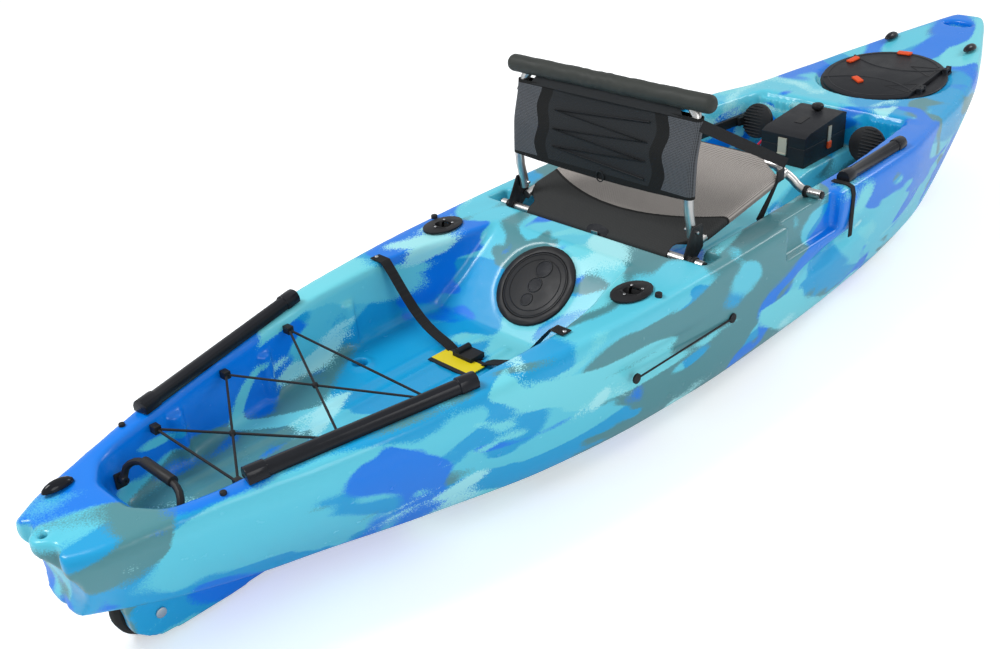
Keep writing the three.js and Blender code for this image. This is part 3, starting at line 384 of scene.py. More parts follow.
REAR_HATCH = slope_frame(-.535, .310, 40)
BOW_HATCH = slope_frame(1.270, .402, 7)
REAR_LAND, BOW_LAND = .121, .228
cutters = []
for place, land, hole, depth in ((REAR_HATCH, REAR_LAND, .096, .16), (BOW_HATCH, BOW_LAND, .166, .24)):
    additions.append(rod(place @ Vector((0, 0, -.012)), place @ Vector((0, 0, 0)), land, 64))
    cutters.append(rod(place @ Vector((0, 0, 0)), place @ Vector((0, 0, .06)), land, 64))
    cutters.append(rod(place @ Vector((0, 0, -depth)), place @ Vector((0, 0, .06)), hole, 64))
for x, y in SCUPPERS:
    cutters.append(rod((x, y, -.05), (x, y, .30), .019, 24))
cutters.append(rod((LUG_X, 0, .05), (LUG_X, 0, .5), .009, 24))
cutters.append(rod((-1.985, -.2, .218), (-1.985, .2, .218), .106, 64))
for side in (1, -1):
    cutters.append(rod((LUG_X - .020, side * .052, .262), (LUG_X - .020, side * .052, .5), .024, 32))
    low_y, high_y = sorted((side * .384, side * .5))
    cutters.append(block((-.006, low_y, .300), (.262, high_y, .5)))
    low_y, high_y = sorted((side * .284, side * .370))
    cutters.append(block((-.325, low_y, .362), (-.252, high_y, .5)))
    rod_hole = Matrix.Translation((-.550, side * .322, .40)) @ Matrix.Rotation(math.radians(12), 4, "Y")
    cutters.append(rod(rod_hole @ Vector((0, 0, -.21)), rod_hole @ Vector((0, 0, .06)), .029, 32))
cutters.append(rod(WHEEL + Vector((0, -.026, 0)), WHEEL + Vector((0, .026, 0)), .081, 48))
cutters.append(block((-1.84, -.026, -.01), (WHEEL.x, .026, WHEEL.z)))
for side in (1, -1):
    bpy.ops.object.select_all(action="DESELECT")
    bpy.ops.mesh.primitive_uv_sphere_add(
        segments=40, ring_count=20, radius=1, location=(-1.745, side * (half_beam(-1.745) - .003), .262),
        rotation=(0, 0, side * math.radians(17)), scale=(.034, .008, .013))
    cutters.append(settled(bpy.context.object))
bpy.ops.object.select_all(action="DESELECT")
bpy.ops.mesh.primitive_cylinder_add(vertices=48, radius=1, depth=.4, location=(1.828, 0, .42),
                                    scale=(.025, .054, 1))
cutters.append(settled(bpy.context.object))

for extra in additions:
    applied(hull, "BOOLEAN", object=extra, operation="UNION", solver="EXACT")
    bpy.data.objects.remove(extra)
cut_away(hull, *cutters)
HULL_VOXEL = .0066
applied(hull, "REMESH", mode="VOXEL", voxel_size=HULL_VOXEL, adaptivity=0)
applied(hull, "SMOOTH", factor=.5, iterations=4)
HULL_TRIANGLES = 190000
if len(hull.data.polygons) * 2 > HULL_TRIANGLES:
    applied(hull, "DECIMATE", ratio=HULL_TRIANGLES / (len(hull.data.polygons) * 2))
alone(hull)
bpy.ops.object.shade_smooth()


def shader_group(name, inputs, outputs):
    """An empty node group with named sockets."""
    group = bpy.data.node_groups.new(name, "ShaderNodeTree")
    for label, kind, default in inputs:
        socket = group.interface.new_socket(label, in_out="INPUT", socket_type=kind)
        socket.default_value = default
    for label, kind in outputs:
        group.interface.new_socket(label, in_out="OUTPUT", socket_type=kind)
    return group, group.nodes.new("NodeGroupInput"), group.nodes.new("NodeGroupOutput")


# A patch group: blotches stretched along the boat, with a speckled border.
patch, patch_in, patch_out = shader_group(
    "mottle_patch",
    [("Vector", "NodeSocketVector", (0, 0, 0)), ("Offset", "NodeSocketVector", (0, 0, 0)),
     ("Level", "NodeSocketFloat", .5), ("Speckle", "NodeSocketFloat", .05)],
    [("Mask", "NodeSocketFloat")])
nodes, links = patch.nodes, patch.links
moved = nodes.new("ShaderNodeVectorMath")
links.new(patch_in.outputs["Vector"], moved.inputs[0])
links.new(patch_in.outputs["Offset"], moved.inputs[1])
stretched = nodes.new("ShaderNodeVectorMath")
stretched.operation = "MULTIPLY"
stretched.inputs[1].default_value = (1.0, 1.7, 2.4)
links.new(moved.outputs[0], stretched.inputs[0])
blotch = nodes.new("ShaderNodeTexNoise")
blotch.inputs["Scale"].default_value = 1.7
blotch.inputs["Detail"].default_value = 2.4
blotch.inputs["Distortion"].default_value = .9
links.new(stretched.outputs[0], blotch.inputs["Vector"])
grains = nodes.new("ShaderNodeTexNoise")
grains.inputs["Scale"].default_value = 300
grains.inputs["Detail"].default_value = 1
links.new(patch_in.outputs["Vector"], grains.inputs["Vector"])
centred = nodes.new("ShaderNodeMath")
centred.operation = "SUBTRACT"
centred.inputs[1].default_value = .5
links.new(grains.outputs["Fac"], centred.inputs[0])
spread = nodes.new("ShaderNodeMath")
spread.operation = "MULTIPLY_ADD"
links.new(centred.outputs[0], spread.inputs[0])
links.new(patch_in.outputs["Speckle"], spread.inputs[1])
links.new(blotch.outputs["Fac"], spread.inputs[2])
edge = nodes.new("ShaderNodeMapRange")
edge.clamp = True
edge_width = nodes.new("ShaderNodeMath")
edge_width.operation = "ADD"
edge_width.inputs[1].default_value = .022
links.new(patch_in.outputs["Level"], edge_width.inputs[0])
links.new(spread.outputs[0], edge.inputs["Value"])
links.new(patch_in.outputs["Level"], edge.inputs["From Min"])
links.new(edge_width.outputs[0], edge.inputs["From Max"])
links.new(edge.outputs["Result"], patch_out.inputs["Mask"])

hull_plastic, nodes, links, shader = new_material("hull_plastic")
coordinates = nodes.new("ShaderNodeTexCoord")
PALE = (.11, .60, .76, 1)
LAYERS = [
    ((.008, .36, .70, 1), (3.1, 0, 1.2), .485, .045),
    ((.080, .265, .30, 1), (7.7, 2.0, .4), .53, .04),
    ((0, .20, .80, 1), (4.7, 2.6, 8.3), .535, .03),
    ((.17, .68, .78, 1), (16.9, 1.0, 6.1), .575, .07),
    ((.38, .83, .88, 1), (23.5, 3.0, 4.1), .64, .10),
]
below = None
for colour, offset, level, speckle in LAYERS:
    blot = nodes.new("ShaderNodeGroup")
    blot.node_tree = patch
    links.new(coordinates.outputs["Object"], blot.inputs["Vector"])
    blot.inputs["Offset"].default_value = offset
    blot.inputs["Level"].default_value = level
    blot.inputs["Speckle"].default_value = speckle
    layer = nodes.new("ShaderNodeMix")
    layer.data_type = "RGBA"
    links.new(blot.outputs["Mask"], layer.inputs["Factor"])
    if below is None:
        layer.inputs["A"].default_value = PALE
    else:
        links.new(below, layer.inputs["A"])
    layer.inputs["B"].default_value = colour
    below = layer.outputs["Result"]
links.new(below, shader.inputs["Base Color"])
wear = nodes.new("ShaderNodeTexNoise")
wear.inputs["Scale"].default_value = 34
wear.inputs["Detail"].default_value = 5
links.new(coordinates.outputs["Object"], wear.inputs["Vector"])
gloss = nodes.new("ShaderNodeMapRange")
gloss.inputs["To Min"].default_value = .17
gloss.inputs["To Max"].default_value = .32
links.new(wear.outputs["Fac"], gloss.inputs["Value"])
links.new(gloss.outputs["Result"], shader.inputs["Roughness"])
shader.inputs["Specular IOR Level"].default_value = .4
peel = nodes.new("ShaderNodeTexNoise")
peel.inputs["Scale"].default_value = 260
links.new(coordinates.outputs["Object"], peel.inputs["Vector"])
relief = nodes.new("ShaderNodeBump")
relief.inputs["Strength"].default_value = .06
relief.inputs["Distance"].default_value = .001
links.new(peel.outputs["Fac"], relief.inputs["Height"])
links.new(relief.outputs["Normal"], shader.inputs["Normal"])
hull.data.materials.clear()
hull.data.materials.append(hull_plastic)
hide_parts("hull")
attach(hull, "boat")


# ---------------------------------------------------------------- keel wheel
# A rubber tyre on a moulded hub turns on a steel axle in the skeg, so that the boat can be wheeled.
grain, grain_in, grain_out = shader_group(
    "surface_grain",
    [("Vector", "NodeSocketVector", (0, 0, 0)), ("Scale", "NodeSocketFloat", 200),
     ("Smoothest", "NodeSocketFloat", .3), ("Roughest", "NodeSocketFloat", .6)],
    [("Tone", "NodeSocketFloat"), ("Roughness", "NodeSocketFloat"), ("Height", "NodeSocketFloat")])
nodes, links = grain.nodes, grain.links
drift = nodes.new("ShaderNodeTexNoise")
drift.inputs["Scale"].default_value = 14
drift.inputs["Detail"].default_value = 6
links.new(grain_in.outputs["Vector"], drift.inputs["Vector"])
fine = nodes.new("ShaderNodeTexNoise")
fine.inputs["Detail"].default_value = 3
links.new(grain_in.outputs["Vector"], fine.inputs["Vector"])
links.new(grain_in.outputs["Scale"], fine.inputs["Scale"])
uneven = nodes.new("ShaderNodeMapRange")
uneven.inputs["From Min"].default_value = .3
uneven.inputs["From Max"].default_value = .7
links.new(drift.outputs["Fac"], uneven.inputs["Value"])
links.new(grain_in.outputs["Smoothest"], uneven.inputs["To Min"])
links.new(grain_in.outputs["Roughest"], uneven.inputs["To Max"])
links.new(drift.outputs["Fac"], grain_out.inputs["Tone"])
links.new(uneven.outputs["Result"], grain_out.inputs["Roughness"])
links.new(fine.outputs["Fac"], grain_out.inputs["Height"])


def finish(name, dark, light, scale, smoothest, roughest, relief, metallic=0.0, stretch=(1, 1, 1)):
    """A material with two tones that drift into each other, uneven gloss and a fine relief."""
    material, nodes, links, shader = new_material(name)
    place = nodes.new("ShaderNodeTexCoord")
    turned = nodes.new("ShaderNodeMapping")
    turned.inputs["Scale"].default_value = stretch
    links.new(place.outputs["Object"], turned.inputs["Vector"])
    surface = nodes.new("ShaderNodeGroup")
    surface.node_tree = grain
    links.new(turned.outputs["Vector"], surface.inputs["Vector"])
    surface.inputs["Scale"].default_value = scale
    surface.inputs["Smoothest"].default_value = smoothest
    surface.inputs["Roughest"].default_value = roughest
    tones = nodes.new("ShaderNodeMix")
    tones.data_type = "RGBA"
    tones.inputs["A"].default_value = (*dark, 1)
    tones.inputs["B"].default_value = (*light, 1)
    links.new(surface.outputs["Tone"], tones.inputs["Factor"])
    links.new(tones.outputs["Result"], shader.inputs["Base Color"])
    links.new(surface.outputs["Roughness"], shader.inputs["Roughness"])
    raised = nodes.new("ShaderNodeBump")
    raised.inputs["Strength"].default_value = relief
    raised.inputs["Distance"].default_value = .0006
    links.new(surface.outputs["Height"], raised.inputs["Height"])
    links.new(raised.outputs["Normal"], shader.inputs["Normal"])
    shader.inputs["Metallic"].default_value = metallic
    if not metallic:
        shader.inputs["Specular IOR Level"].default_value = .2
    return material


def made(piece, name, material, body, smooth=35):
    """Gives a finished piece its name, material and body."""
    piece.name = name
    piece.data.materials.clear()
    piece.data.materials.append(material)
    alone(piece)
    bpy.ops.object.shade_smooth_by_angle(angle=math.radians(smooth))
    if body:
        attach(piece, body)
    return piece


def dressed(node, material, body, bevel=0, segments=2, smooth=35):
    """Takes up the frame's shape for a fitting, merges its faces and rounds its edges."""
    mesh = bpy.data.objects[node].data.copy()
    piece = bpy.data.objects.new(node + "_finished", mesh)
    bpy.context.scene.collection.objects.link(piece)
    alone(piece)
    if mesh.has_custom_normals:
        bpy.ops.mesh.customdata_custom_splitnormals_clear()
    bpy.ops.object.mode_set(mode="EDIT")
    bpy.ops.mesh.select_all(action="SELECT")
    bpy.ops.mesh.remove_doubles(threshold=2e-5)
    bpy.ops.mesh.dissolve_limited(angle_limit=math.radians(2))
    bpy.ops.object.mode_set(mode="OBJECT")
    if bevel:
        applied(piece, "BEVEL", width=bevel, segments=segments, limit_method="ANGLE",
                angle_limit=math.radians(38))
    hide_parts(node)
    return made(piece, node + "_finished", material, body, smooth)


tyre_rubber = finish("tyre_rubber", (.012, .012, .012), (.028, .028, .027), 300, .6, .85, .5)
moulded_black = finish("moulded_black", (.010, .010, .011), (.022, .022, .024), 420, .32, .52, .35)
bolt_steel = finish("bolt_steel", (.45, .45, .46), (.66, .66, .67), 200, .18, .34, .1, 1)
dressed("wheel_tyre", tyre_rubber, "wheel", .004, 3)
dressed("wheel_hub", moulded_black, "wheel", .001)
dressed("wheel_axle", bolt_steel, "boat", .0008)

# ---------------------------------------------------------------- gear rails, rod holders and leashes
# Extruded rails with moulded end caps are screwed along the gunwales; flush rod holders sit in the deck.
weave, weave_in, weave_out = shader_group(
    "cross_weave",
    [("Across", "NodeSocketFloat", 0), ("Along", "NodeSocketFloat", 0), ("Pitch", "NodeSocketFloat", .003)],
    [("Height", "NodeSocketFloat"), ("Gap", "NodeSocketFloat")])


def maths(nodes, links):
    """A function that adds one Math node and gives its output."""
    def step(operation, *values):
        node = nodes.new("ShaderNodeMath")
        node.operation = operation
        for socket, value in zip(node.inputs, values):
            if isinstance(value, (int, float)):
                socket.default_value = value
            else:
                links.new(value, socket)
        return node.outputs[0]

    return step


step = maths(weave.nodes, weave.links)
turns = step("DIVIDE", 2 * math.pi, weave_in.outputs["Pitch"])
over_y = step("SINE", step("MULTIPLY", weave_in.outputs["Across"], turns))
over_x = step("SINE", step("MULTIPLY", weave_in.outputs["Along"], turns))
crossing = step("MULTIPLY", over_y, over_x)
weave.links.new(step("MULTIPLY_ADD", crossing, .5, .5), weave_out.inputs["Height"])
weave.links.new(step("GREATER_THAN", step("ABSOLUTE", crossing), .55), weave_out.inputs["Gap"])


def woven(name, thread, painted_gap_shade, pitch, along, roughness=.8, zones=()):
    """Woven cloth with threads across and along, the gaps between threads darker as painted shade. Each
    zone is a mask and the colour of another cloth.
    """
    material, nodes, links, shader = new_material(name)
    step = maths(nodes, links)
    place = nodes.new("ShaderNodeTexCoord")
    split = nodes.new("ShaderNodeSeparateXYZ")
    links.new(place.outputs["Object"], split.inputs[0])
    cloth = nodes.new("ShaderNodeGroup")
    cloth.node_tree = weave
    links.new(split.outputs["Y"], cloth.inputs["Across"])
    links.new(split.outputs[along], cloth.inputs["Along"])
    cloth.inputs["Pitch"].default_value = pitch
    # The gap colour is painted shade: it darkens the gaps between the threads.
    tones = nodes.new("ShaderNodeMix")
    tones.data_type = "RGBA"
    tones.inputs["A"].default_value = (*thread, 1)
    tones.inputs["B"].default_value = (*painted_gap_shade, 1)
    links.new(cloth.outputs["Gap"], tones.inputs["Factor"])
    colour = tones.outputs["Result"]
    for mask_of, tint in zones:
        layer = nodes.new("ShaderNodeMix")
        layer.data_type = "RGBA"
        links.new(mask_of(step, split.outputs), layer.inputs["Factor"])
        links.new(colour, layer.inputs["A"])
        layer.inputs["B"].default_value = (*tint, 1)
        colour = layer.outputs["Result"]
    links.new(colour, shader.inputs["Base Color"])
    raised = nodes.new("ShaderNodeBump")
    raised.inputs["Strength"].default_value = .6
    raised.inputs["Distance"].default_value = .0008
    links.new(cloth.outputs["Height"], raised.inputs["Height"])
    links.new(raised.outputs["Normal"], shader.inputs["Normal"])
    shader.inputs["Roughness"].default_value = roughness
    shader.inputs["Specular IOR Level"].default_value = .25
    return material


# The webbing's darker second colour is painted shade in the gaps of its weave.
black_webbing = woven("black_webbing", (.020, .020, .021), (.006, .006, .007), .0035, "Z")
gloss_black = finish("gloss_black", (.008, .009, .012), (.016, .017, .022), 120, .12, .24, .10)


def rounded(piece, width, segments=3):
    """Rounds a piece's sharp edges."""
    return applied(piece, "BEVEL", width=width, segments=segments, limit_method="ANGLE", angle_limit=.6)


def screw(name, place, radius):
    """An upright pan head screw in the boat: a low dome."""
    place = Vector(place)
    head = rod(place - Vector((0, 0, radius * .2)), place + Vector((0, 0, radius * .55)), radius, 24)
    return made(rounded(head, radius * .35), name, bolt_steel, "boat")


for side in ("port", "starboard"):
    for row in ("rear", "front"):
        dressed(f"{row}_rail_{side}", gloss_black, "boat", .006, 3)
    dressed(f"rod_holder_{side}", moulded_black, "boat", .0015)
    low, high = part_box(f"rod_holder_{side}")
    y = (low.y + high.y) / 2
    for k, (dx, dy) in enumerate(((-.026, .0), (.022, .016), (.022, -.016))):
        screw(f"rod_screw_{side}_{k}", ((low.x + high.x) / 2 + dx, y + dy, high.z - .0015), .0036)
    dressed(f"rail_leash_{side}", black_webbing, "boat")

# ---------------------------------------------------------------- tankwell lacing, strap and labels
# One bungee is laced through six moulded eyes, and a webbing strap with a cam buckle holds the load down.
braided_cord = finish("braided_cord", (.008, .008, .009), (.026, .026, .028), 900, .5, .72, .8)
label_yellow = finish("label_yellow", (.80, .62, .01), (.88, .70, .02), 200, .3, .45, .1)
dressed("bungee_lacing", braided_cord, "boat", smooth=60)
dressed("side_bungee", braided_cord, "boat", smooth=60)
for k in (1, 2, 3):
    for side in ("port", "starboard"):
        dressed(f"bungee_eye_{k}_{side}", moulded_black, "boat", .0015)
strap = dressed("tie_down_strap", black_webbing, "boat")
alone(strap)
bpy.ops.object.mode_set(mode="EDIT")
bpy.ops.mesh.select_all(action="SELECT")
bpy.ops.mesh.quads_convert_to_tris()
bpy.ops.mesh.subdivide(number_cuts=9)
bpy.ops.object.mode_set(mode="OBJECT")
STRAP_X, STRAP_SAG = -.789, .036
SAG_START, SAG_END = .056, well_top(STRAP_X) - .010
for vertex in strap.data.vertices:
    t = (abs(vertex.co.y) - SAG_START) / (SAG_END - SAG_START)
    vertex.co.z -= STRAP_SAG * math.sin(math.pi * min(max(t, 0), 1)) ** 1.3
dressed("strap_buckle", moulded_black, "boat", .003, 3)
label = block((-.852, -.068, WELL_FLOOR + .0035), (-.800, .068, WELL_FLOOR + .0062))
made(label, "floor_label", label_yellow, "boat")
for k, x in enumerate((-.864, -.800)):
    edge_strip = block((x, -.068, WELL_FLOOR + .0035), (x + .012, .068, WELL_FLOOR + .0063))
    made(edge_strip, f"floor_label_edge_{k}", moulded_black, "boat")
for k, side in enumerate((1, -1)):
    screw(f"strap_screw_{k}", (STRAP_X, side * (well_top(STRAP_X) + .024), sheer_z(STRAP_X) + .003), .005)
    for name, x, y, sunk, height, radius, edge, sides in (
            ("deck_knob", -.525, .382, .004, .010, .009, .003, 32),
            ("deck_button", -1.615, .184, .003, .006, .007, .0025, 24)):
        stud = rod((x, side * y, sheer_z(x) - sunk), (x, side * y, sheer_z(x) + height), radius, sides)
        made(rounded(stud, edge), f"{name}_{k}", moulded_black, "boat")

# ---------------------------------------------------------------- hatches
# Moulded frames are screwed to the deck. The rear lid turns out by its three finger dimples; the bow lid is
# hinged to starboard and held by three orange flip latches.
lid_charcoal = finish("lid_charcoal", (.010, .011, .014), (.020, .021, .025), 520, .38, .56, .5)
latch_orange = finish("latch_orange", (.72, .065, .012), (.86, .10, .020), 350, .34, .48, .25)
dressed("rear_hatch_frame", moulded_black, "boat", .002, 3)
rear_lid = dressed("rear_hatch_lid", moulded_black, "rear_lid", .0015, 3)
LID_TOP = .0078
for k, (distance, radius) in enumerate(((.048, .024), (0, .020), (-.044, .017))):
    bpy.ops.object.select_all(action="DESELECT")
    bpy.ops.mesh.primitive_torus_add(
        major_radius=radius, minor_radius=.0022, major_segments=48, minor_segments=10,
        location=REAR_HATCH @ Vector((distance, 0, LID_TOP - .0004)), rotation=REAR_HATCH.to_euler())
    ring_piece = settled(bpy.context.object)
    made(ring_piece, f"lid_dimple_{k}", moulded_black, "rear_lid")
    # A gloss black disc in each dimple is painted shade: it darkens the dimple to show its depth.
    dimple_shadow_disc = rod(REAR_HATCH @ Vector((distance, 0, LID_TOP - .003)),
               REAR_HATCH @ Vector((distance, 0, LID_TOP + .0003)), radius * .93, 40)
    made(dimple_shadow_disc, f"lid_dimple_shadow_{k}", gloss_black, "rear_lid")
for k, major in enumerate((.089, .074)):
    bpy.ops.object.select_all(action="DESELECT")
    bpy.ops.mesh.primitive_torus_add(
        major_radius=major, minor_radius=.0016, major_segments=96, minor_segments=8,
        location=REAR_HATCH @ Vector((0, 0, LID_TOP - .0006)), rotation=REAR_HATCH.to_euler())
    made(settled(bpy.context.object), f"lid_ring_{k}", moulded_black, "rear_lid")

dressed("bow_hatch_frame", lid_charcoal, "boat", .0015)
dressed("bow_hatch_lid", lid_charcoal, "bow_lid", .0035, 4)
for k in (1, 2):
    dressed(f"bow_hatch_pin_{k}", moulded_black, "boat")
for k in (1, 2, 3):
    dressed(f"bow_latch_{k}", latch_orange, f"bow_latch_body_{k}", .0028, 3)
BOW_LID_TOP = .0203


def line_piece(name, points, radius, roundness):
    """A closed round tube along points."""
    curve = bpy.data.curves.new(name, "CURVE")
    curve.dimensions = "3D"
    spline = curve.splines.new("POLY")
    spline.points.add(len(points) - 1)
    for point, place in zip(spline.points, points):
        point.co = (*place, 1)
    curve.bevel_depth = radius
    curve.bevel_resolution = roundness
    curve.use_fill_caps = True
    new = bpy.data.objects.new(name, curve)
    bpy.context.scene.collection.objects.link(new)
    alone(new)
    bpy.ops.object.convert(target="MESH")
    return bpy.context.object


def rib(name, points, radius, material):
    """A low raised rib along points on the bow lid's top, given in the lid's own frame."""
    ridge = line_piece(name, [(x, y, 0) for x, y in points], radius, 4)
    flattened = Matrix.Diagonal((1, 1, .45, 1))
    ridge.matrix_world = BOW_HATCH @ Matrix.Translation((0, 0, BOW_LID_TOP)) @ flattened
    return made(settled(ridge), name, material, "bow_lid", 50)


for k, bend in enumerate((1, -1)):
    arc = [(.045 * bend + .075 * bend * (t * t), .185 * t) for t in np.linspace(-.86, .92, 24)]
    rib(f"lid_rib_{k}", arc, .0042, lid_charcoal)
circle = [(.186 * math.cos(t), .186 * math.sin(t))
          for t in np.linspace(math.radians(-50), math.radians(230), 60)]
rib("lid_rim_bead", circle, .003, lid_charcoal)
for k, (x0, x1) in enumerate(((.035, .110), (-.110, -.035))):
    corner = [(x0, -.145), (x1, -.145), ((x0 + x1) / 2 + (.02 if k == 0 else -.02), -.055), (x0, -.145)]
    rib(f"lid_recess_edge_{k}", corner, .0028, moulded_black)

# ---------------------------------------------------------------- console box and foot braces
# A moulded box with a sloping lid, a turn knob, a beige catch and a side loop, between two foot braces that
# slide on tracks.
catch_beige = finish("catch_beige", (.36, .34, .27), (.46, .44, .36), 300, .35, .5, .2)
brace_red = finish("brace_red", (.60, .012, .05), (.75, .02, .08), 300, .35, .5, .2)
dressed("console_box", lid_charcoal, "boat", .006, 4)
dressed("console_lid", lid_charcoal, "console_cover", .006, 4)
dressed("console_knob", moulded_black, "console_cover", .004, 4)
dressed("console_latch", catch_beige, "console_catch", .0015)
dressed("console_side_strap", catch_beige, "boat", .001)
box_low, box_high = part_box("console_side_strap")
tab = block((box_low.x - .002, box_low.y - .003, box_low.z - .004),
            (box_high.x + .002, box_high.y + .001, box_low.z + .020))
rounded(tab, .0025)
made(tab, "console_strap_tab", latch_orange, "boat")
NOTCH_X, NOTCH_Z = .740, .4011
notch = block((NOTCH_X - .028, -.012, NOTCH_Z - .002), (NOTCH_X + .028, .012, NOTCH_Z + .0012))
alone(notch)
bpy.ops.object.mode_set(mode="EDIT")
bpy.ops.mesh.select_all(action="SELECT")
bpy.ops.transform.rotate(value=math.radians(5), orient_axis="Y", center_override=(NOTCH_X, 0, NOTCH_Z))
bpy.ops.object.mode_set(mode="OBJECT")
made(notch, "console_lid_inset", moulded_black, "console_cover")
for side in ("port", "starboard"):
    dressed(f"foot_track_{side}", moulded_black, "boat", .002)
    pedal = dressed(f"foot_pedal_{side}", moulded_black, f"pedal_{side}", .002)
    low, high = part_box(f"foot_pedal_{side}")
    middle = (low + high) / 2
    lean = math.radians(15)
    for k in range(-5, 6):
        height = .0100 * k
        half = math.sqrt(max(.053 ** 2 - height ** 2, 1e-5))
        z = (low.z + high.z) / 2 + height * math.cos(lean)
        met, spot, _, _ = pedal.ray_cast(Vector((low.x - .05, middle.y, z)), Vector((1, 0, 0)))
        x = spot.x if met else low.x + .01
        bar = rod((x, middle.y - half, z), (x, middle.y + half, z), .0026, 10)
        made(bar, f"pedal_grip_{side}_{k + 5}", moulded_black, f"pedal_{side}", 60)
low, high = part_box("foot_pedal_port")
lever = rod((low.x - .012, low.y + .010, low.z + .012), (low.x - .085, low.y - .004, low.z + .004),
            .0045, 20)
made(lever, "brace_lever", brace_red, "pedal_port", 60)

# ---------------------------------------------------------------- seat frame
# Drawn aluminium tubes, bent and plugged at their ends, stand on the hull's ledges; the back folds on two
# bolts through hinge brackets.
drawn_aluminium = finish("drawn_aluminium", (.52, .51, .50), (.62, .61, .60), 60, .30, .40, .03, 1)
for node in ("seat_rear_bar", "seat_front_tube", "seat_side_tube_port", "seat_side_tube_starboard"):
    dressed(node, drawn_aluminium, "boat", smooth=55)
dressed("seat_back_frame", drawn_aluminium, "backrest", smooth=55)
TUBE = .0125
for k, side in enumerate(("port", "starboard")):
    dressed(f"seat_bracket_{side}", moulded_black, "boat", .001)
    dressed(f"seat_pivot_bolt_{side}", bolt_steel, "boat", .0008)
    sign = 1 - 2 * k
    front_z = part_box("seat_front_tube")[0].z + TUBE
    for j, (bar, x, end, y, z, radius) in enumerate((
            ("rear_bar", -.290, .3445, .316, .3748, .0172),
            ("front_tube", .188, .3895, .345, front_z, .0168))):
        plug = rod((x, sign * end, z), (x, sign * (end + .006), z), TUBE * .86, 32)
        made(rounded(plug, .003), f"{bar}_plug_{side}", moulded_black, "boat", 60)
        collar = rod((x, sign * (y - .006), z), (x, sign * (y + .006), z), radius, 40)
        made(rounded(collar, .002, 2), f"seat_collar_{side}_{j}", moulded_black,
             "boat", 60)

# ---------------------------------------------------------------- seat sling
# A sling of open taupe mesh with a charcoal cloth rear, bound in black, is stretched round the side tubes
# and over the front tube, and its rear wraps the rear bar.
def past_seam(low, high):
    """A mask that is 1 where x lies between two distances from the curved seam across the sling."""
    def mask(step, place):
        seam = step("MULTIPLY_ADD", step("MULTIPLY", place["Y"], place["Y"]), .96, -.205)
        past = step("SUBTRACT", place["X"], seam)
        return step("MULTIPLY", step("GREATER_THAN", past, low), step("LESS_THAN", past, high))

    return mask


def over(axis, value):
    return lambda step, place: step("GREATER_THAN", place[axis], value)


CHARCOAL_CLOTH, BLACK_BINDING = (.030, .031, .031), (.006, .006, .006)
# The sling's dark second colour is painted shade, seen through the holes of the open mesh.
sling_cloth = woven("sling_cloth", (.46, .42, .39), (.10, .09, .085), .0085, "X", .72, (
    (past_seam(-1, 0), CHARCOAL_CLOTH), (past_seam(-.004, .005), BLACK_BINDING),
    (over("X", .158), (.008, .008, .008))))


def tube_height(x):
    return .402 + .14988 * (x + .256)


SLING_LINE = [
    (-.2830, .3608), (-.2910, .3596), (-.3000, .3632), (-.3055, .3720), (-.3040, .3815), (-.2960, .3885),
    (-.2840, .3930), (-.2680, .3995), (-.2480, .4070), (-.2200, .4150), (-.1800, .4225), (-.1300, .4290),
    (-.0700, .4365), (-.0150, .4452), (.0400, .4550), (.0900, .4660), (.1250, .4770), (.1420, .4900),
    (.1540, .5005), (.1650, .5005), (.1730, .4930), (.1745, .4850)]
def cloth_piece(name, rows, looped=False):
    """A thin cloth through rows of points, outward where looped, else facing up or aft as its rows run."""
    cloth = bmesh.new()
    grid = [[cloth.verts.new(p) for p in row] for row in rows]
    for row_a, row_b in zip(grid, grid[1:]):
        for j in range(len(row_a) if looped else len(row_a) - 1):
            k = (j + 1) % len(row_a)
            face = (row_a[j], row_a[k], row_b[k], row_b[j])
            cloth.faces.new(face if looped else face[:1] + face[:0:-1])
    if looped:
        bmesh.ops.recalc_face_normals(cloth, faces=cloth.faces)
    data = bpy.data.meshes.new(name)
    cloth.to_mesh(data)
    cloth.free()
    piece = bpy.data.objects.new(name, data)
    bpy.context.scene.collection.objects.link(piece)
    return piece


rows = []
ACROSS = 28
for x, z in SLING_LINE:
    round_tube = min(max((x + .262) / .024, 0), 1) * min(max((.150 - x) / .022, 0), 1)
    if z < .385:
        round_tube = 0
    half = mix(.236 if x < 0 else .218, .285, round_tube)
    edge_z = mix(z, tube_height(x) + .0140, round_tube)
    row = []
    for k in range(-ACROSS, ACROSS + 1):
        t = k / ACROSS
        sag = (1 - abs(t) ** 2.2) if round_tube else 0
        row.append((x, half * t, mix(edge_z, z, sag * round_tube + (1 - round_tube))))
    wrap = [math.radians(a) for a in (25, 50, 75, 100, 125, 150, 175, 200, 225)]
    right_edge = [(x, half + .0140 * math.sin(a) * round_tube + (1 - round_tube) * .0004 * (j + 1),
                   edge_z - .0140 * (1 - math.cos(a)) * round_tube) for j, a in enumerate(wrap)]
    left_edge = [(px, -py, pz) for px, py, pz in reversed(right_edge)]
    rows.append(left_edge + row + right_edge)
sling = cloth_piece("seat_sling_cloth", rows)
if sling.data.polygons[len(sling.data.polygons) // 2].normal.z < 0:
    sling.data.flip_normals()
applied(sling, "SOLIDIFY", thickness=.0018, offset=0)
applied(sling, "SUBSURF", levels=1, render_levels=1)
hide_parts("seat_sling")
made(sling, "seat_sling_cloth", sling_cloth, "boat", 60)
bpy.ops.object.select_all(action="DESELECT")
bpy.ops.mesh.primitive_cylinder_add(vertices=48, radius=1, depth=.004, location=(-.2985, -.010, .3850),
                                    rotation=(0, math.radians(-52), 0), scale=(.017, .036, 1))
oval = settled(bpy.context.object)
made(oval, "sling_patch", gloss_black, "boat")
ring_plate = block((-.3125, -.020, .375), (-.3085, .002, .388))
rounded(ring_plate, .0012, 2)
made(ring_plate, "sling_patch_ring", bolt_steel, "boat")

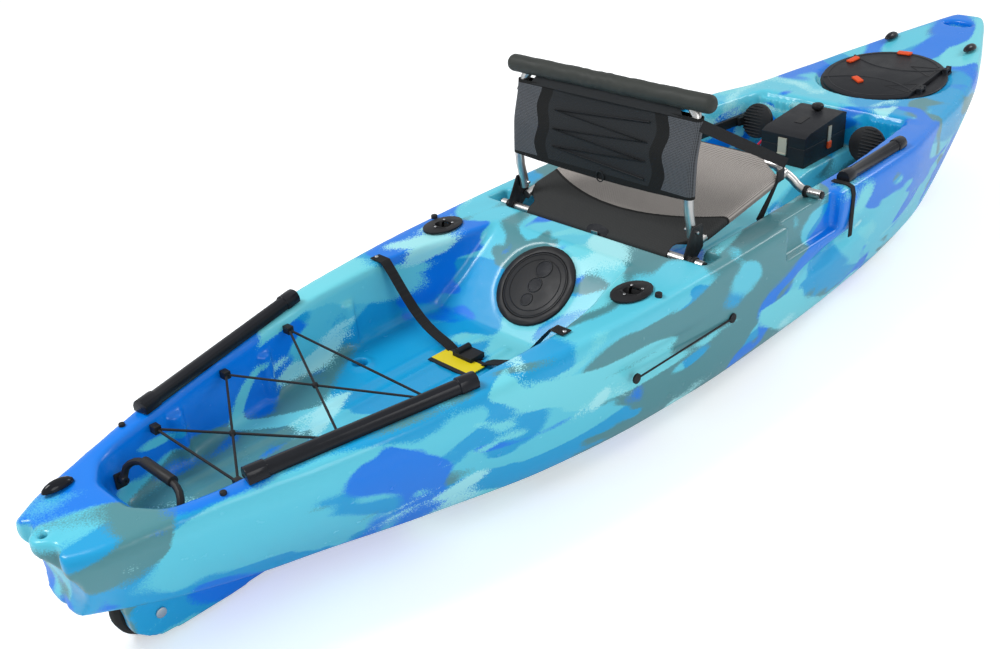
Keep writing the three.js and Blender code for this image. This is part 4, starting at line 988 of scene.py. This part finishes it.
# ---------------------------------------------------------------- back panel
# Grey mesh sleeves pull round the uprights, with a charcoal cloth centre laced behind by a thin cord
# between black bindings.
def beyond(low, high):
    """A mask that is 1 where the distance from the middle lies between two values, along a wavy line."""
    def mask(step, place):
        wave = step("MULTIPLY", step("SINE", step("MULTIPLY", place["Z"], 62)), .006)
        out = step("ADD", step("ABSOLUTE", place["Y"]), wave)
        return step("MULTIPLY", step("GREATER_THAN", out, low), step("LESS_THAN", out, high))

    return mask


def under(axis, value):
    return lambda step, place: step("LESS_THAN", place[axis], value)


PANEL_LOW, PANEL_HIGH, HEM = .537, .738, .008
# The back cloth's darker second colour is painted shade in the gaps of its weave.
back_cloth = woven("back_cloth", (.10, .105, .115), (.018, .020, .023), .0075, "Z", .75, (
    (beyond(-1, .205), (.017, .019, .021)), (beyond(.172, .212), BLACK_BINDING),
    (over("Z", PANEL_HIGH - HEM), BLACK_BINDING), (under("Z", PANEL_LOW + HEM), BLACK_BINDING)))
upright_x = fair_curve((.455, -.264), (.515, -.276), (.620, -.272), (.715, -.250), (.743, -.246))
rows = []
SLEEVE = .0142
for z in np.linspace(PANEL_LOW, PANEL_HIGH, 22):
    x_tube = upright_x(z)
    row = []
    for face, order in ((-1, 1), (1, -1)):
        for k in range(-24, 25):
            t = k / 24 * order
            pull = .0035 * (1 - t * t)
            droop = -.010 * (1 - t * t) * ((PANEL_HIGH - z) / (PANEL_HIGH - PANEL_LOW))
            row.append((x_tube + face * (SLEEVE - pull), .285 * t, z + droop))
        for angle in range(20, 180, 20):
            a = math.radians(angle)
            row.append((x_tube + face * SLEEVE * math.cos(a), order * (.285 + SLEEVE * math.sin(a)), z))
    rows.append(row)
panel = cloth_piece("seat_back_cloth", rows, looped=True)
applied(panel, "SOLIDIFY", thickness=.0016, offset=0)
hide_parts("seat_back_panel")
made(panel, "seat_back_cloth", back_cloth, "backrest", 60)


rows = []
for k in range(6):
    t = k / 5
    z = mix(PANEL_HIGH - .006, .762, t)
    half = mix(.250, .228, t)
    rows.append([(upright_x(z) - .0135 + .010 * t - .004 * (1 - (j / 20) ** 2), half * j / 20, z)
                 for j in range(-20, 21)])
yoke = cloth_piece("back_yoke", rows)
applied(yoke, "SOLIDIFY", thickness=.0016, offset=0)
# The yoke's darker second colour is painted shade in the gaps of its weave.
yoke_cloth = woven("yoke_cloth", (.022, .024, .026), (.012, .013, .014), .004, "Z")
made(yoke, "back_yoke", yoke_cloth, "backrest", 60)


lace = []
for k in range(7):
    z = .705 - .024 * k
    lace.append((upright_x(z) - .0145, (-.155, .155)[k % 2], z))
made(line_piece("back_lacing", lace, .0022, 3), "back_lacing", braided_cord, "backrest", 60)
tail = [(upright_x(.56) - .0145, -.012 + .012 * math.sin(a), .536 + .014 * math.cos(a))
        for a in np.linspace(0, 6.28, 25)]
made(line_piece("back_lacing_tail", tail, .0016, 3), "back_lacing_tail", braided_cord,
     "backrest", 60)

# ---------------------------------------------------------------- head roll
# A foam roll in dark coated cloth is sleeved over the top of the back frame; the cloth is a little long,
# so it puckers along its length.
roll_cloth = finish("roll_cloth", (.028, .031, .029), (.052, .056, .050), 700, .42, .68, .5)
roll_low, roll_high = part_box("seat_back_roll")
ROLL = (roll_high.z - roll_low.z) / 2
roll_middle = (roll_low + roll_high) / 2
roll = rod((roll_middle.x, roll_low.y + .003, roll_middle.z),
           (roll_middle.x, roll_high.y - .003, roll_middle.z), ROLL - .0035, 48)
rounded(roll, .016, 5)
applied(roll, "REMESH", mode="VOXEL", voxel_size=.0055, adaptivity=0)
rest_points = np.empty(len(roll.data.vertices) * 3)
roll.data.vertices.foreach_get("co", rest_points)
rest_points = rest_points.reshape(-1, 3)
y = rest_points[:, 1]
angle = np.arctan2(rest_points[:, 2] - roll_middle.z, rest_points[:, 0] - roll_middle.x)
pucker = (np.sin(y * 61 + 2.2 * np.sin(angle)) + .8 * np.sin(y * 113 + 3 * angle + 4 * np.sin(y * 17))
          + .6 * np.sin(y * 197 - 2 * angle + 5 * np.sin(y * 11)))
pucker *= .0006 * np.clip(1.1 - np.abs(y) / .40, .2, 1)
outward = rest_points - np.array([roll_middle.x, 0, roll_middle.z])
outward[:, 1] = 0
outward /= np.maximum(np.linalg.norm(outward, axis=1, keepdims=True), 1e-6)
puckered = rest_points + outward * pucker[:, None]
roll.data.vertices.foreach_set("co", puckered.ravel())
alone(roll)
modifier = roll.modifiers.new("cloth", "CLOTH")
modifier.settings.use_pressure = True
modifier.settings.uniform_pressure_force = 4
modifier.settings.effector_weights.gravity = 0
modifier.settings.quality = 5
modifier.point_cache.frame_end = 20
for step in range(1, 21):
    bpy.context.scene.frame_set(step)
swollen = roll.evaluated_get(bpy.context.evaluated_depsgraph_get()).to_mesh()
moved_points = np.empty(len(swollen.vertices) * 3)
swollen.vertices.foreach_get("co", moved_points)
roll.modifiers.remove(modifier)
bpy.context.scene.frame_set(1)
shift = moved_points.reshape(-1, 3) - puckered
far = np.linalg.norm(shift, axis=1, keepdims=True)
shift *= np.minimum(1, .005 / np.maximum(far, 1e-9))
roll.data.vertices.foreach_set("co", (puckered + shift).ravel())
applied(roll, "SUBSURF", levels=1, render_levels=1)
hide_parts("seat_back_roll")
made(roll, "head_roll", roll_cloth, "backrest", 80)

# ---------------------------------------------------------------- seat straps
# Webbing side straps run from the sling's foot up to the top of the back, with a ladder buckle on each.
for k, side in enumerate(("port", "starboard")):
    strap = dressed(f"seat_strap_{side}", black_webbing, None)
    alone(strap)
    bpy.ops.object.mode_set(mode="EDIT")
    bpy.ops.mesh.select_all(action="SELECT")
    bpy.ops.mesh.quads_convert_to_tris()
    bpy.ops.mesh.subdivide(number_cuts=9)
    bpy.ops.object.mode_set(mode="OBJECT")
    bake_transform(strap)
    sign = 1 - 2 * k
    buckle = block((.104, sign * .2995 - .003, .458), (.140, sign * .2995 + .003, .492))
    rounded(buckle, .004)
    made(buckle, f"strap_ladder_{side}", moulded_black, "boat")

# ---------------------------------------------------------------- handles and end fittings
# A soft grip swings between two stern brackets; moulded loops at bow and stern carry the boat by hand.
dressed("stern_handle", moulded_black, "handle", .001, smooth=55)
for side in ("port", "starboard"):
    dressed(f"stern_handle_bracket_{side}", moulded_black, "boat", .002)
    dressed(f"bow_fitting_{side}", gloss_black, "boat", .005, 4)
dressed("stern_fitting", gloss_black, "boat", .005, 4)
